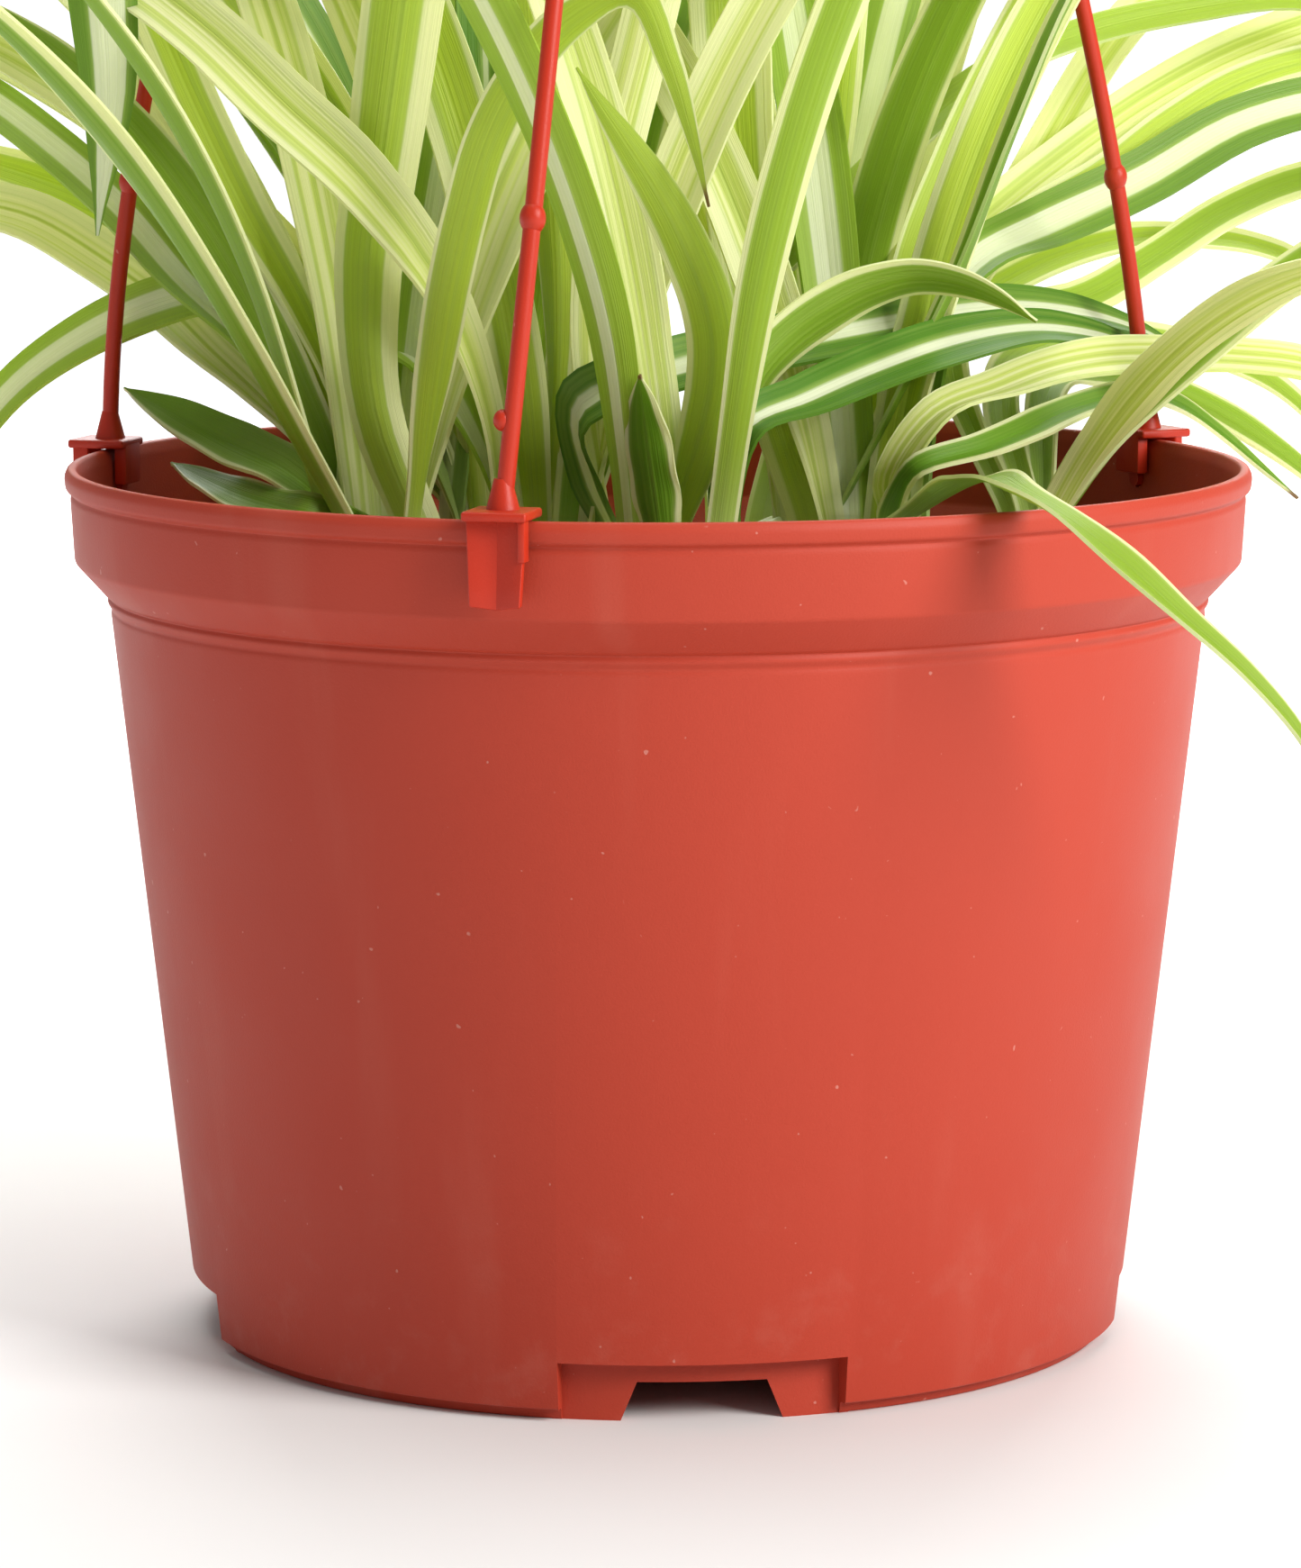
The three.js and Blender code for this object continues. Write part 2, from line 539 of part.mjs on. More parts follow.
// Each row: crown, full width, how far it shows its face, then points along its spine.
const SHAPED_LEAVES = [
  // spilling over the front right of the rim
  [
    "right", 9, 0.2,
    [46, -34, 144], [52, -68, 150.5], [56, -86, 150], [66, -97, 145], [76, -101, 136],
    [88, -104, 126], [98, -105, 115], [104, -106, 104],
  ],
  // low arches in front
  ["front", 8.5, 0, [-2, -48, 155], [-3, -53, 166]],
  ["front", 9.5, 0.7, [12, -44, 154], [26, -32, 161], [54, 4, 168], [75, 40, 166], [96, 66, 158]],
  [
    "middle", 12, 0.6,
    [-13, -26, 158], [-2, -26, 163], [26, -4, 168], [60, 30, 171],
    [84, 60, 166], [98, 76, 158],
  ],
  ["middle", 11.5, 0.6, [-35, -4, 158], [-51, 9, 170], [-76, 26, 174], [-113, 44, 156], [-146, 54, 104]],
  [
    "right", 9, 0.6,
    [40, -14, 152], [57, 6, 159], [74, 36, 162], [93, 62, 161],
    [122, 86, 156], [168, 110, 112],
  ],
  ["front", 11, 0.5, [13, -36, 157], [21, -28, 169], [40, -24, 179], [52, -26, 178], [62, -30, 173]],
  ["right", 6.5, 0.6, [42, -16, 147], [56, -6, 151], [74, 30, 155], [90, 58, 154], [116, 84, 134]],
  // narrow arch that passes in front and comes down again
  [
    "left", 7.2, 1,
    [-37, -32, 162], [-33, -40, 184], [-26, -46, 207], [-15, -49, 222],
    [-4, -51, 227], [3, -54, 212], [8, -56, 193],
  ],
  ["front", 8.5, 1, [9, -46, 168], [4, -51, 187], [-13, -57, 215]],
  // tall leaves of the left crown
  [
    "left", 13.5, 0,
    [-49, -20, 166], [-47, -17, 190], [-42, -18, 226], [-37, -34, 264],
    [-38, -70, 298], [-44, -112, 302], [-52, -148, 268],
  ],
  [
    "middle", 11.5, 0.8,
    [-31, -20, 166], [-46, -25, 192], [-61, -14, 206], [-80, 5, 222],
    [-104, 26, 233], [-150, 46, 226], [-190, 60, 176],
  ],
  [
    "left", 8.5, 0.8,
    [-54, -2, 158], [-65, 6, 180], [-75, 11, 198], [-84, 18, 218],
    [-104, 36, 250], [-140, 60, 262], [-180, 84, 228],
  ],
  [
    "left", 10, 0.7,
    [-60, -3, 155], [-80, 17, 174], [-105, 40, 197], [-142, 60, 214],
    [-184, 78, 192], [-206, 86, 150],
  ],
  [
    "left", 10, 0.7,
    [-60, 0, 150], [-75, 20, 162], [-91, 41, 174], [-118, 58, 187],
    [-156, 78, 180], [-190, 92, 142],
  ],
  ["left", 9, 0.7, [-60, -12, 145], [-74, 8, 150], [-93, 32, 157]],
  ["left", 7.5, 0.6, [-58, -24, 142], [-70, -8, 145], [-84, 20, 148]],
  // upright fan in the middle
  [
    "middle", 8.5, 0.9,
    [-25, 2, 165], [-29, 7, 195], [-30, 9, 226], [-34, 16, 270],
    [-52, 40, 316], [-76, 80, 318],
  ],
  [
    "middle", 8, 1,
    [-17, 0, 164], [-18, 2, 188], [-21, 4, 222], [-26, 0, 262],
    [-40, -14, 300], [-66, -40, 306], [-88, -60, 270],
  ],
  [
    "middle", 9, 1,
    [-11, -15, 164], [-8, -13, 195], [-2, -8, 220], [10, -6, 262],
    [34, -8, 292], [66, -14, 288],
  ],
  ["back_left", 9, 0.9, [-6, 20, 172], [-8, 17, 196], [-20, 16, 226], [-42, 14, 262]],
  [
    "right", 14, 0.9,
    [17, 11, 168], [14, 13, 195], [12, 16, 225], [12, 24, 276],
    [22, 46, 326], [34, 88, 336], [44, 128, 306],
  ],
  [
    "middle", 6.5, 0.7,
    [-4, 0, 156], [13, 8, 171], [34, 28, 191], [62, 54, 212],
    [88, 68, 220], [124, 82, 222], [170, 96, 194],
  ],
  [
    "back_right", 7.5, 1,
    [29, 40, 170], [31, 42, 198], [33, 44, 224], [38, 44, 272],
    [52, 34, 318], [84, 12, 330], [108, -8, 296],
  ],
  // right-hand fan
  [
    "back_right", 10.5, 0.9,
    [39, 45, 170], [45, 52, 196], [53, 60, 225], [68, 68, 268],
    [100, 80, 300], [142, 92, 284], [168, 100, 232],
  ],
  [
    "right", 9, 0.9,
    [42, 20, 170], [50, 32, 192], [59, 42, 210], [72, 52, 232],
    [104, 66, 264], [150, 78, 262], [186, 86, 210],
  ],
  [
    "back_right", 8, 0.8,
    [48, 62, 162], [60, 82, 178], [70, 90, 194], [80, 96, 211],
    [97, 104, 229], [134, 122, 244], [168, 138, 214],
  ],
  [
    "right", 11, 0.7,
    [49, 26, 170], [59, 50, 180], [76, 68, 186], [94, 79, 194],
    [119, 90, 205], [170, 116, 192], [206, 134, 140],
  ],
  [
    "back_right", 9.5, 0.8,
    [46, 62, 172], [60, 76, 184], [86, 96, 202], [104, 106, 212],
    [140, 118, 220], [186, 140, 198], [204, 150, 160],
  ],
  [
    "back_right", 7, 0.8,
    [46, 54, 170], [62, 66, 182], [84, 84, 194], [104, 100, 207],
    [138, 118, 212], [178, 138, 184],
  ],
  ["side_right", 8, 0.6, [72, 64, 156], [94, 86, 152], [110, 100, 143], [126, 114, 130], [142, 128, 104]],
  ["side_right", 8, 0.6, [62, 60, 157], [78, 84, 162], [102, 102, 158], [122, 120, 146], [146, 136, 114]],
  [
    "back_right", 7, 0.6,
    [42, 62, 158], [65, 88, 172], [84, 102, 178], [108, 120, 177],
    [126, 136, 170], [150, 158, 130],
  ],
  [
    "side_right", 7.5, 0.7,
    [54, 66, 162], [83, 95, 170], [102, 112, 181], [123, 126, 189],
    [160, 150, 182], [196, 168, 140],
  ],
  // broad leaf that arches high on the left and hangs its tip
  [
    "back_left", 14.5, 1,
    [-36, 38, 190], [-52, 34, 252], [-72, 26, 292], [-88, 18, 282],
    [-94, 13, 240], [-93, 12, 206], [-95, 12, 185],
  ],
];

// The rest of each rosette: crown, compass turn, length, launch from upright, droop at the tip.
const ARCHING_LEAVES = [
  ["back_left", -176, 270, 14, 118],
  ["back_left", -146, 300, 22, 126],
  ["back_left", -118, 280, 34, 124],
  ["back_left", 164, 240, 40, 122],
  ["back_left", -98, 300, 18, 112],
  ["back_right", 176, 270, 38, 126],
  ["back_right", 150, 300, 16, 118],
  ["front", -34, 270, 16, 104],
  ["front", 30, 290, 12, 108],
  ["right", 96, 290, 6, 104],
  ["left", -70, 280, 12, 112],
  ["left", -52, 240, 24, 100],
];
const ARCHING_WIDTH = 10;

function byCost(first, second) {
  return first.cost - second.cost;
}

// Ways a leaf may be eased to find room: a seat on its crown, and a lean away from its neighbours.
function easings() {
  const found = [];
  for (const seatTurn of SEAT_TURNS) {
    for (const seatRadius of SEAT_RADII) {
      for (const lean of LEANS) {
        for (const lift of LIFTS) {
          for (const slim of SLIMS) {
            const seatCost = TURN_COST * Math.abs(seatTurn) + RADIUS_COST * (SEAT_RADII[0] - seatRadius);
            const moveCost = Math.abs(lean) + LIFT_COST * Math.abs(lift) + SLIM_COST * (1 - slim);
            found.push({ seatTurn, seatRadius, lean, lift, slim, cost: seatCost + moveCost });
          }
        }
      }
    }
  }
  return found.sort(byCost);
}

function spineOf(crown, points, easing, leanAxis) {
  const [crownX, crownY] = CROWNS[crown];
  const last = points[Math.min(2, points.length - 1)];
  const natural = Math.atan2(last[0] - crownX, crownY - last[1]) * THREE.MathUtils.RAD2DEG;
  const seat = heading(natural + easing.seatTurn).multiplyScalar(easing.seatRadius);
  const base = new THREE.Vector3(crownX, crownY, SOIL_TOP + CROWN_RISE + BASE_LIFT).add(seat);
  const spine = [base];
  points.forEach((point, index) => {
    const share = Math.min(1, (index + 1) / Math.max(2, points.length - 1));
    const eased = new THREE.Vector3(...point).addScaledVector(leanAxis, easing.lean * share);
    spine.push(eased.addScaledVector(UP, easing.lift * share));
  });
  return new THREE.CatmullRomCurve3(spine);
}

function boxesApart(one, other) {
  return [0, 1, 2].some((axis) => one.min[axis] > other.max[axis] || other.min[axis] > one.max[axis]);
}

function clashes(solid, others) {
  const box = solid.boundingBox();
  return others.some((other) => !boxesApart(box, other.box) && solid.intersect(other.solid).volume() > 0);
}

// Sets one leaf after another, easing each until it is clear of all that is already there.
function growLeaves(obstacles) {
  const placed = [...obstacles];
  const leaves = [];
  const counts = {};
  const crowded = [];
  const choices = easings();
  const grow = (crown, width, showing, points, leanAxis) => {
    const fits = (easing) => {
      const spine = spineOf(crown, points, easing, leanAxis);
      return !clashes(bladeSolid(spine, width * easing.slim, showing, LEAF_CLEARANCE), placed);
    };
    const easing = choices.find(fits);
    counts[crown] = (counts[crown] ?? 0) + 1;
    const name = `leaf_${crown}_${counts[crown]}`;
    if (!easing) {
      crowded.push(name);
      return;
    }
    const solid = bladeSolid(spineOf(crown, points, easing, leanAxis), width * easing.slim, showing, 0);
    placed.push({ solid, box: solid.boundingBox() });
    leaves.push({ name, solid });
  };
  for (const [crown, width, showing, ...points] of SHAPED_LEAVES) {
    grow(crown, width, showing, points, new THREE.Vector3(0, 1, 0));
  }
  for (const [crown, turn, length, launch, droop] of ARCHING_LEAVES) {
    const points = archingPoints(CROWNS[crown], turn, length, launch, droop);
    grow(crown, ARCHING_WIDTH, 0, points, heading(turn + 90));
  }
  if (crowded.length > 0) throw new Error(`no room for ${crowded.join(", ")}`);
  return leaves;
}

// ---- assembly -----------------------------------------------------------------------------------

const group = new THREE.Group();
group.position.z = -HANG_HEIGHT;

function addPiece(name, solid, material) {
  const mesh = new THREE.Mesh(geometryOf(solid), material.clone());
  mesh.name = name;
  group.add(mesh);
}

const pieces = [
  ["pot", pot(), terracottaPlastic],
  ["soil", soil(), darkSoil],
  ["hanger_hook", hook(), hangerPlastic],
  ...Object.entries(ARMS).map(([side, bend]) => [`hanger_arm_${side}`, arm(bend), hangerPlastic]),
  ...Object.entries(CROWNS).map(([side, centre], index) => [
    `crown_${side}`,
    crownSolid(centre, CROWN_TWIST * index, 0),
    paleCrown,
  ]),
];
pieces.forEach(([name, solid, material]) => addPiece(name, solid, material));

const obstacles = pieces.map(([, solid]) => ({ solid, box: solid.boundingBox() }));
growLeaves(obstacles).forEach(({ name, solid }, index) => {
  addPiece(name, solid, leafGreens[index % leafGreens.length]);
});

export default group;
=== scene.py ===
# %% [markdown]
# # A variegated spider plant in its hanging pot
#
# The real object is a thin plastic pot with a clip-on hanger, filled with soil, out of which seven
# young spider plants have grown into one thick tuft. The frame holds a plain, exact solid for every
# piece. This lesson dresses that frame: smooth plastic in place of the faceted plastic, crumbly soil,
# and leaves that are thin, channelled and striped.
#
# Everything is in metres and the frame's own axes: the origin is where the hook bears the weight, and
# the pot's foot is 490 mm lower.

# %% Load the fixed frame
import json
import math
import random

import bpy
import numpy as np
from mathutils import Matrix, Vector, noise
from mathutils.bvhtree import BVHTree


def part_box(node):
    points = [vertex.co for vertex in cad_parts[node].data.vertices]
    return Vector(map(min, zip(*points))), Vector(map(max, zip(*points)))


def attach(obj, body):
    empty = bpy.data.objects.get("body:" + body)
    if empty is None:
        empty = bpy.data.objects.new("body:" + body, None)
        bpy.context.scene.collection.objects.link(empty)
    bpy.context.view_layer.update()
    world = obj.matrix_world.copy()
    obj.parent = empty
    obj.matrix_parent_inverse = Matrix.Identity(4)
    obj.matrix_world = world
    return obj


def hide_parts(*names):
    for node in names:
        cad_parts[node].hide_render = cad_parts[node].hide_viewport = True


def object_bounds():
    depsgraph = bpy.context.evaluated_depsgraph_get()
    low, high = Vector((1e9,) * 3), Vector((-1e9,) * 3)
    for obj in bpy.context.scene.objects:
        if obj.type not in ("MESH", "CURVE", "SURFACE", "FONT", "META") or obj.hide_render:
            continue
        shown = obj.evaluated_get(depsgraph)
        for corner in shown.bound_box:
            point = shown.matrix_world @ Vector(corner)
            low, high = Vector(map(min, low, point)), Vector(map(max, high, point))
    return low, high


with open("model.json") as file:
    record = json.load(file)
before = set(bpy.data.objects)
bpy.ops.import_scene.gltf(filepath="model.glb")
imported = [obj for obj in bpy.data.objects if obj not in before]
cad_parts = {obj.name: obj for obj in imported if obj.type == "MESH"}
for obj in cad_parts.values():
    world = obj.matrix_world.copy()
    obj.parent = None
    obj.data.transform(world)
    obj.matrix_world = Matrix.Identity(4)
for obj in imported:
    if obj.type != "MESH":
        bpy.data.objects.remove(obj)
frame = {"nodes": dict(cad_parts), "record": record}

CAD_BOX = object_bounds()
SLOT_OF = {part["node"]: part["material_slot"] for part in frame["record"]["subparts"]}
MM = 0.001
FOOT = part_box("pot")[0][2]
print("pieces in the frame:", len(frame["nodes"]), "foot at", round(FOOT, 4))

# %% [markdown]
# ## Camera
#
# The plant is looked at from the front and from only a little above the rim, with a long lens, so the
# pot's rim is a narrow ellipse. The camera is made first, because everything else is judged through it.

# %% Make the camera
bpy.ops.object.select_all(action="DESELECT")
bpy.ops.object.camera_add(location=(-0.0013, -1.0191, -0.2484), rotation=(math.radians(81.65), 0, 0))
camera = bpy.context.object
camera.name = "camera"
camera.data.sensor_width = 36
camera.data.lens = 138.6
camera.data.clip_start = 0.05
bpy.context.scene.camera = camera
print("camera lens", camera.data.lens)

# %% [markdown]
# ## Helpers for handling pieces
#
# Blender's tools work on whatever is selected. These few helpers keep that honest: one puts
# everything down and picks up a single piece, one applies a piece's modifiers, one joins loose parts
# into a moulding, and one hands a finished piece to the frame.

# %% Pick up, apply, join and hand over
def pick_up(piece):
    """Makes one piece the only selected and the active one."""
    bpy.ops.object.select_all(action="DESELECT")
    piece.select_set(True)
    bpy.context.view_layer.objects.active = piece


def apply_modifiers(piece):
    pick_up(piece)
    for step in list(piece.modifiers):
        bpy.ops.object.modifier_apply(modifier=step.name)


def join_parts(name, parts):
    """Joins loose parts into one piece that takes the first one's place."""
    pick_up(parts[0])
    for part in parts:
        part.select_set(True)
    if len(parts) > 1:
        bpy.ops.object.join()
    whole = bpy.context.object
    whole.name = name
    whole.data.name = name
    return whole


def smooth(piece, degrees=35):
    pick_up(piece)
    bpy.ops.object.shade_smooth_by_angle(angle=math.radians(degrees))


def hand_over(piece, finish, stands_for=None):
    """Gives a finished piece its material and its body and, where there is one, hides the CAD node it stands
    for.
    """
    piece.data.materials.clear()
    piece.data.materials.append(finish)
    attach(piece, "root")
    if stands_for:
        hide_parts(stands_for)


# %% [markdown]
# ## Helpers for mixing finishes
#
# A finish is a small net of shader nodes. To keep each recipe readable, `put` adds one node and wires
# its sockets in a single line, and three short helpers cover what every recipe needs: arithmetic, a
# mix of two colours, and a noise pattern.

# %% Shader helpers
def new_finish(name):
    finish = bpy.data.materials.new(name)
    finish.use_nodes = True
    finish.node_tree.nodes.clear()
    return finish, finish.node_tree


def put(net, kind, sockets=None, **settings):
    """Adds a node. A socket is given a plain value, or another node's output to be wired to."""
    node = net.nodes.new(kind)
    for name, value in settings.items():
        setattr(node, name, value)
    for socket, value in (sockets or {}).items():
        if isinstance(value, bpy.types.NodeSocket):
            net.links.new(value, node.inputs[socket])
        else:
            node.inputs[socket].default_value = value
    return node


def calc(net, operation, first, second=0.0, third=0.0):
    return put(net, "ShaderNodeMath", {0: first, 1: second, 2: third}, operation=operation).outputs[0]


def ease(net, value, low, high):
    """Goes softly from 0 to 1 as value goes from low to high."""
    sockets = {"Value": value, "From Min": low, "From Max": high}
    return put(net, "ShaderNodeMapRange", sockets, interpolation_type="SMOOTHSTEP").outputs[0]


def spread(net, value, low, high):
    """Stretches a value that runs from 0 to 1 so that it runs from low to high."""
    sockets = {"Value": value, "To Min": low, "To Max": high}
    return put(net, "ShaderNodeMapRange", sockets).outputs[0]


def blend_colours(net, share, first, second, mode="MIX"):
    node = put(net, "ShaderNodeMix", {0: share}, data_type="RGBA", blend_type=mode)
    for socket, value in ((6, first), (7, second)):
        if isinstance(value, bpy.types.NodeSocket):
            net.links.new(value, node.inputs[socket])
        else:
            node.inputs[socket].default_value = value
    return node.outputs[2]


def pattern(net, where, scale, detail=3.0, rough=0.5):
    sockets = {"Vector": where, "Scale": scale, "Detail": detail, "Roughness": rough}
    return put(net, "ShaderNodeTexNoise", sockets).outputs["Fac"]


def paint(red, green, blue):
    """A colour as on a screen, 0 to 255, turned into the shader's own measure."""
    def linear(part):
        part /= 255
        return part / 12.92 if part <= 0.04045 else ((part + 0.055) / 1.055) ** 2.4
    return (linear(red), linear(green), linear(blue), 1.0)


def close_recipe(net, shader):
    put(net, "ShaderNodeOutputMaterial", {"Surface": shader})


# %% [markdown]
# ## Moulded plastic
#
# Pot and hanger are both coloured polypropylene, but not the same batch: the pot is satin and has
# picked up dust and scuffs, the hanger is a little glossier and more orange. The recipe is one: a body
# colour that drifts slightly from place to place, a few pale specks, a chalky bloom of lime towards
# the foot where water dries, a very fine moulded grain as bump, and a sheen that varies with handling.

# %% Plastic finishes
def moulded_plastic(name, body, worn, sheen, bloom):
    finish, net = new_finish(name)
    place = put(net, "ShaderNodeTexCoord").outputs["Object"]
    drift = pattern(net, place, 14.0, 4.0)
    colour = blend_colours(net, spread(net, drift, 0.0, 0.34), body, worn)
    streaked = put(net, "ShaderNodeMapping", {"Vector": place, "Scale": (60.0, 60.0, 5.0)}).outputs[0]
    streaks = ease(net, pattern(net, streaked, 1.0, 5.0), 0.56, 0.8)
    colour = blend_colours(net, calc(net, "MULTIPLY", streaks, 0.045), colour, paint(232, 172, 150))
    height = put(net, "ShaderNodeSeparateXYZ", {0: place}).outputs["Z"]
    low_down = ease(net, height, FOOT + 0.05, FOOT)
    chalk = calc(net, "MULTIPLY", low_down, ease(net, pattern(net, place, 90.0, 6.0, 0.62), 0.5, 0.72))
    colour = blend_colours(net, calc(net, "MULTIPLY", chalk, bloom), colour, paint(222, 186, 168))
    specks = ease(net, pattern(net, place, 620.0, 1.0), 0.775, 0.82)
    colour = blend_colours(net, calc(net, "MULTIPLY", specks, 0.2), colour, paint(240, 205, 190))
    grain = pattern(net, place, 2600.0, 2.0)
    dents = pattern(net, place, 55.0, 3.0)
    relief = calc(net, "ADD", calc(net, "MULTIPLY", grain, 0.25), dents)
    bump = put(net, "ShaderNodeBump", {"Strength": 0.35, "Distance": 0.0004, "Height": relief})
    dull = spread(net, pattern(net, place, 32.0, 5.0), sheen - 0.08, sheen + 0.12)
    sockets = {"Base Color": colour, "Roughness": dull, "Normal": bump.outputs[0], "IOR": 1.49}
    sockets["Specular IOR Level"] = 0.3
    close_recipe(net, put(net, "ShaderNodeBsdfPrincipled", sockets).outputs[0])
    return finish


pot_plastic = moulded_plastic("pot_plastic", paint(173, 57, 36), paint(156, 48, 31), 0.52, 0.05)
hanger_plastic = moulded_plastic("hanger_plastic", paint(180, 44, 20), paint(150, 34, 16), 0.4, 0.0)
print("plastics:", pot_plastic.name, hanger_plastic.name)

# %% [markdown]
# ## The pot
#
# The real pot is one thin moulding, round but for its foot. It could be lofted from circles or cut
# from a cylinder, but a maker draws the wall's outline once and turns it, so that is what `turned`
# does: it starts from a point, extrudes it along the outline, and spins that line round the axis.
# Moulded corners are never sharp, so `rounded` first trades each corner of the outline for a small arc.

# %% Turn an outline
def rounded(outline, radius):
    """Trades every corner between the first and last point for an arc of four points."""
    eased = [outline[0]]
    for before, corner, after in zip(outline, outline[1:], outline[2:]):
        here = Vector(corner)
        back, ahead = Vector(before) - here, Vector(after) - here
        start = here + back.normalized() * min(radius, back.length * 0.45)
        end = here + ahead.normalized() * min(radius, ahead.length * 0.45)
        for share in (0.0, 0.33, 0.67, 1.0):
            eased.append(tuple(start.lerp(here, share).lerp(here.lerp(end, share), share)))
    eased.append(outline[-1])
    return eased


def turned(name, outline, steps):
    """Spins (radius, height) points, in mm above the foot, once round the pot's axis."""
    bpy.ops.object.select_all(action="DESELECT")
    bpy.ops.mesh.primitive_plane_add(size=MM)
    piece = bpy.context.object
    piece.name = name
    bpy.ops.object.mode_set(mode="EDIT")
    bpy.ops.mesh.select_all(action="SELECT")
    bpy.ops.mesh.merge(type="CENTER")
    bpy.ops.transform.translate(value=(outline[0][0] * MM, 0, FOOT + outline[0][1] * MM))
    for (radius, height), (next_radius, next_height) in zip(outline, outline[1:]):
        step = ((next_radius - radius) * MM, 0, (next_height - height) * MM)
        bpy.ops.mesh.extrude_region_move(TRANSFORM_OT_translate={"value": step})
    bpy.ops.mesh.select_all(action="SELECT")
    bpy.ops.mesh.spin(steps=steps, angle=math.tau, center=(0, 0, 0), axis=(0, 0, 1))
    bpy.ops.mesh.select_all(action="SELECT")
    bpy.ops.mesh.remove_doubles(threshold=0.000002)
    bpy.ops.mesh.normals_make_consistent(inside=False)
    bpy.ops.object.mode_set(mode="OBJECT")
    return piece


POT_OUTLINE = [
    (0, 7), (73.2, 7), (74.2, 0), (76.8, 0), (77.2, 2), (79.2, 2),  # floor, foot ring, end of the wall
    (92.6, 122.5), (92.4, 123.4), (93.3, 124.6), (92.8, 125.6), (93.6, 126),  # wall and its double line
    (98.6, 131.5), (99.2, 142), (98.9, 143), (100, 143.6), (100.2, 145.6), (99.6, 147),  # collar and lip
    (98.2, 147), (97.6, 145), (97.0, 131.9), (92.0, 126.4), (91.0, 122),  # down the inside
    (78.4, 10.1), (76.8, 8.6), (0, 8.6),
]
pot = turned("potted_pot", rounded(POT_OUTLINE, 0.5), 180)
print("pot shell faces:", len(pot.data.polygons))

# %% [markdown]
# Four drain notches interrupt the foot. Each is a shallow recess with a thin panel behind it and a
# slot through the panel. The cutters are made as a toolmaker would: upright rectangles swept part of
# the way round the pot, and a wedge for the slot. All cutters of a kind are joined and cut at once.

# %% Cutters for the foot and the collar
def heading(turn):
    """Unit vector of a compass turn in degrees, from the front (-Y) towards +X."""
    return Vector((math.sin(math.radians(turn)), -math.cos(math.radians(turn)), 0))


def curved_bar(inner, outer, low, high, half_angle, turn):
    """An upright rectangle swept round the axis. Spin goes clockwise, so it starts past the turn."""
    bpy.ops.object.select_all(action="DESELECT")
    bpy.ops.mesh.primitive_plane_add(size=1)
    bar = bpy.context.object
    start = heading(turn + half_angle)
    for corner in bar.data.vertices:
        radius = (outer if corner.co.x > 0 else inner) * MM
        height = (high if corner.co.y > 0 else low) * MM
        corner.co = start * radius + Vector((0, 0, FOOT + height))
    bpy.ops.object.mode_set(mode="EDIT")
    bpy.ops.mesh.select_all(action="SELECT")
    sweep = math.radians(2 * half_angle)
    bpy.ops.mesh.spin(steps=16, angle=sweep, center=(0, 0, 0), axis=(0, 0, 1))
    bpy.ops.mesh.select_all(action="SELECT")
    bpy.ops.mesh.remove_doubles(threshold=0.000002)
    bpy.ops.mesh.normals_make_consistent(inside=False)
    bpy.ops.object.mode_set(mode="OBJECT")
    return bar


def facing(part, turn):
    """Turns a part that was made on the +X side so that it faces the given way."""
    part.data.transform(Matrix.Rotation(math.radians(turn - 90), 4, "Z"))
    return part


def block(low, high, edge=0.0, segments=2):
    """A bar between two corners in mm above the foot, with its edges rounded by edge mm."""
    bpy.ops.object.select_all(action="DESELECT")
    middle = [(a + b) / 2 * MM for a, b in zip(low, high)]
    middle[2] += FOOT
    size = [(b - a) * MM for a, b in zip(low, high)]
    bpy.ops.mesh.primitive_cube_add(size=1, location=middle, scale=size)
    bpy.ops.object.transform_apply(location=True, rotation=True, scale=True)
    if edge:
        bpy.ops.object.mode_set(mode="EDIT")
        bpy.ops.mesh.select_all(action="SELECT")
        bpy.ops.mesh.bevel(offset=edge * MM, segments=segments, affect="EDGES")
        bpy.ops.object.mode_set(mode="OBJECT")
    return bpy.context.object


def drain_slot(turn):
    wedge = block((66, -10.5, -1), (80, 10.5, 6.4))
    for corner in wedge.data.vertices:
        if corner.co.z < FOOT:
            corner.co.y *= 27 / 21
    return facing(wedge, turn)


def drill(radius, length, middle, across, turn):
    """A round cutter, upright or lying across the wall."""
    bpy.ops.object.select_all(action="DESELECT")
    tilt = (0, math.pi / 2, 0) if across else (0, 0, 0)
    place = (middle[0] * MM, 0, FOOT + middle[1] * MM)
    bpy.ops.mesh.primitive_cylinder_add(
        vertices=32, radius=radius * MM, depth=length * MM, location=place, rotation=tilt
    )
    bpy.ops.object.transform_apply(location=True, rotation=True, scale=True)
    return facing(bpy.context.object, turn)


NOTCH_TURNS = [5.3 + 90 * quarter for quarter in range(4)]
ARM_BENDS = {"front": (-14, 0, 9.5), "left": (-106, 1, 0), "right": (119, 8, 0)}  # turn, drawn in, sway
upper_panels = [curved_bar(74.2, 79.0, 2.1, 11.6, 18.4, turn) for turn in NOTCH_TURNS]
lower_panels = [curved_bar(74.3, 76.7, 0.02, 2.6, 18.2, turn) for turn in NOTCH_TURNS]
recesses = join_parts("recesses", [curved_bar(76.4, 100, -1, 10, 17, turn) for turn in NOTCH_TURNS])
cutters = [drain_slot(turn) for turn in NOTCH_TURNS]
cutters += [drill(4, 6, (48, 8), False, turn + 45) for turn in NOTCH_TURNS]
cutters += [drill(1.7, 8, (98, 140), True, bend[0]) for bend in ARM_BENDS.values()]
openings = join_parts("openings", cutters)
print("cutter parts:", len(cutters))

# %% Cut the notches, slots and holes
def cut_with(piece, tool, operation):
    step = piece.modifiers.new("cut", "BOOLEAN")
    step.operation = operation
    step.object = tool
    step.solver = "EXACT"
    apply_modifiers(piece)
    bpy.data.objects.remove(tool)


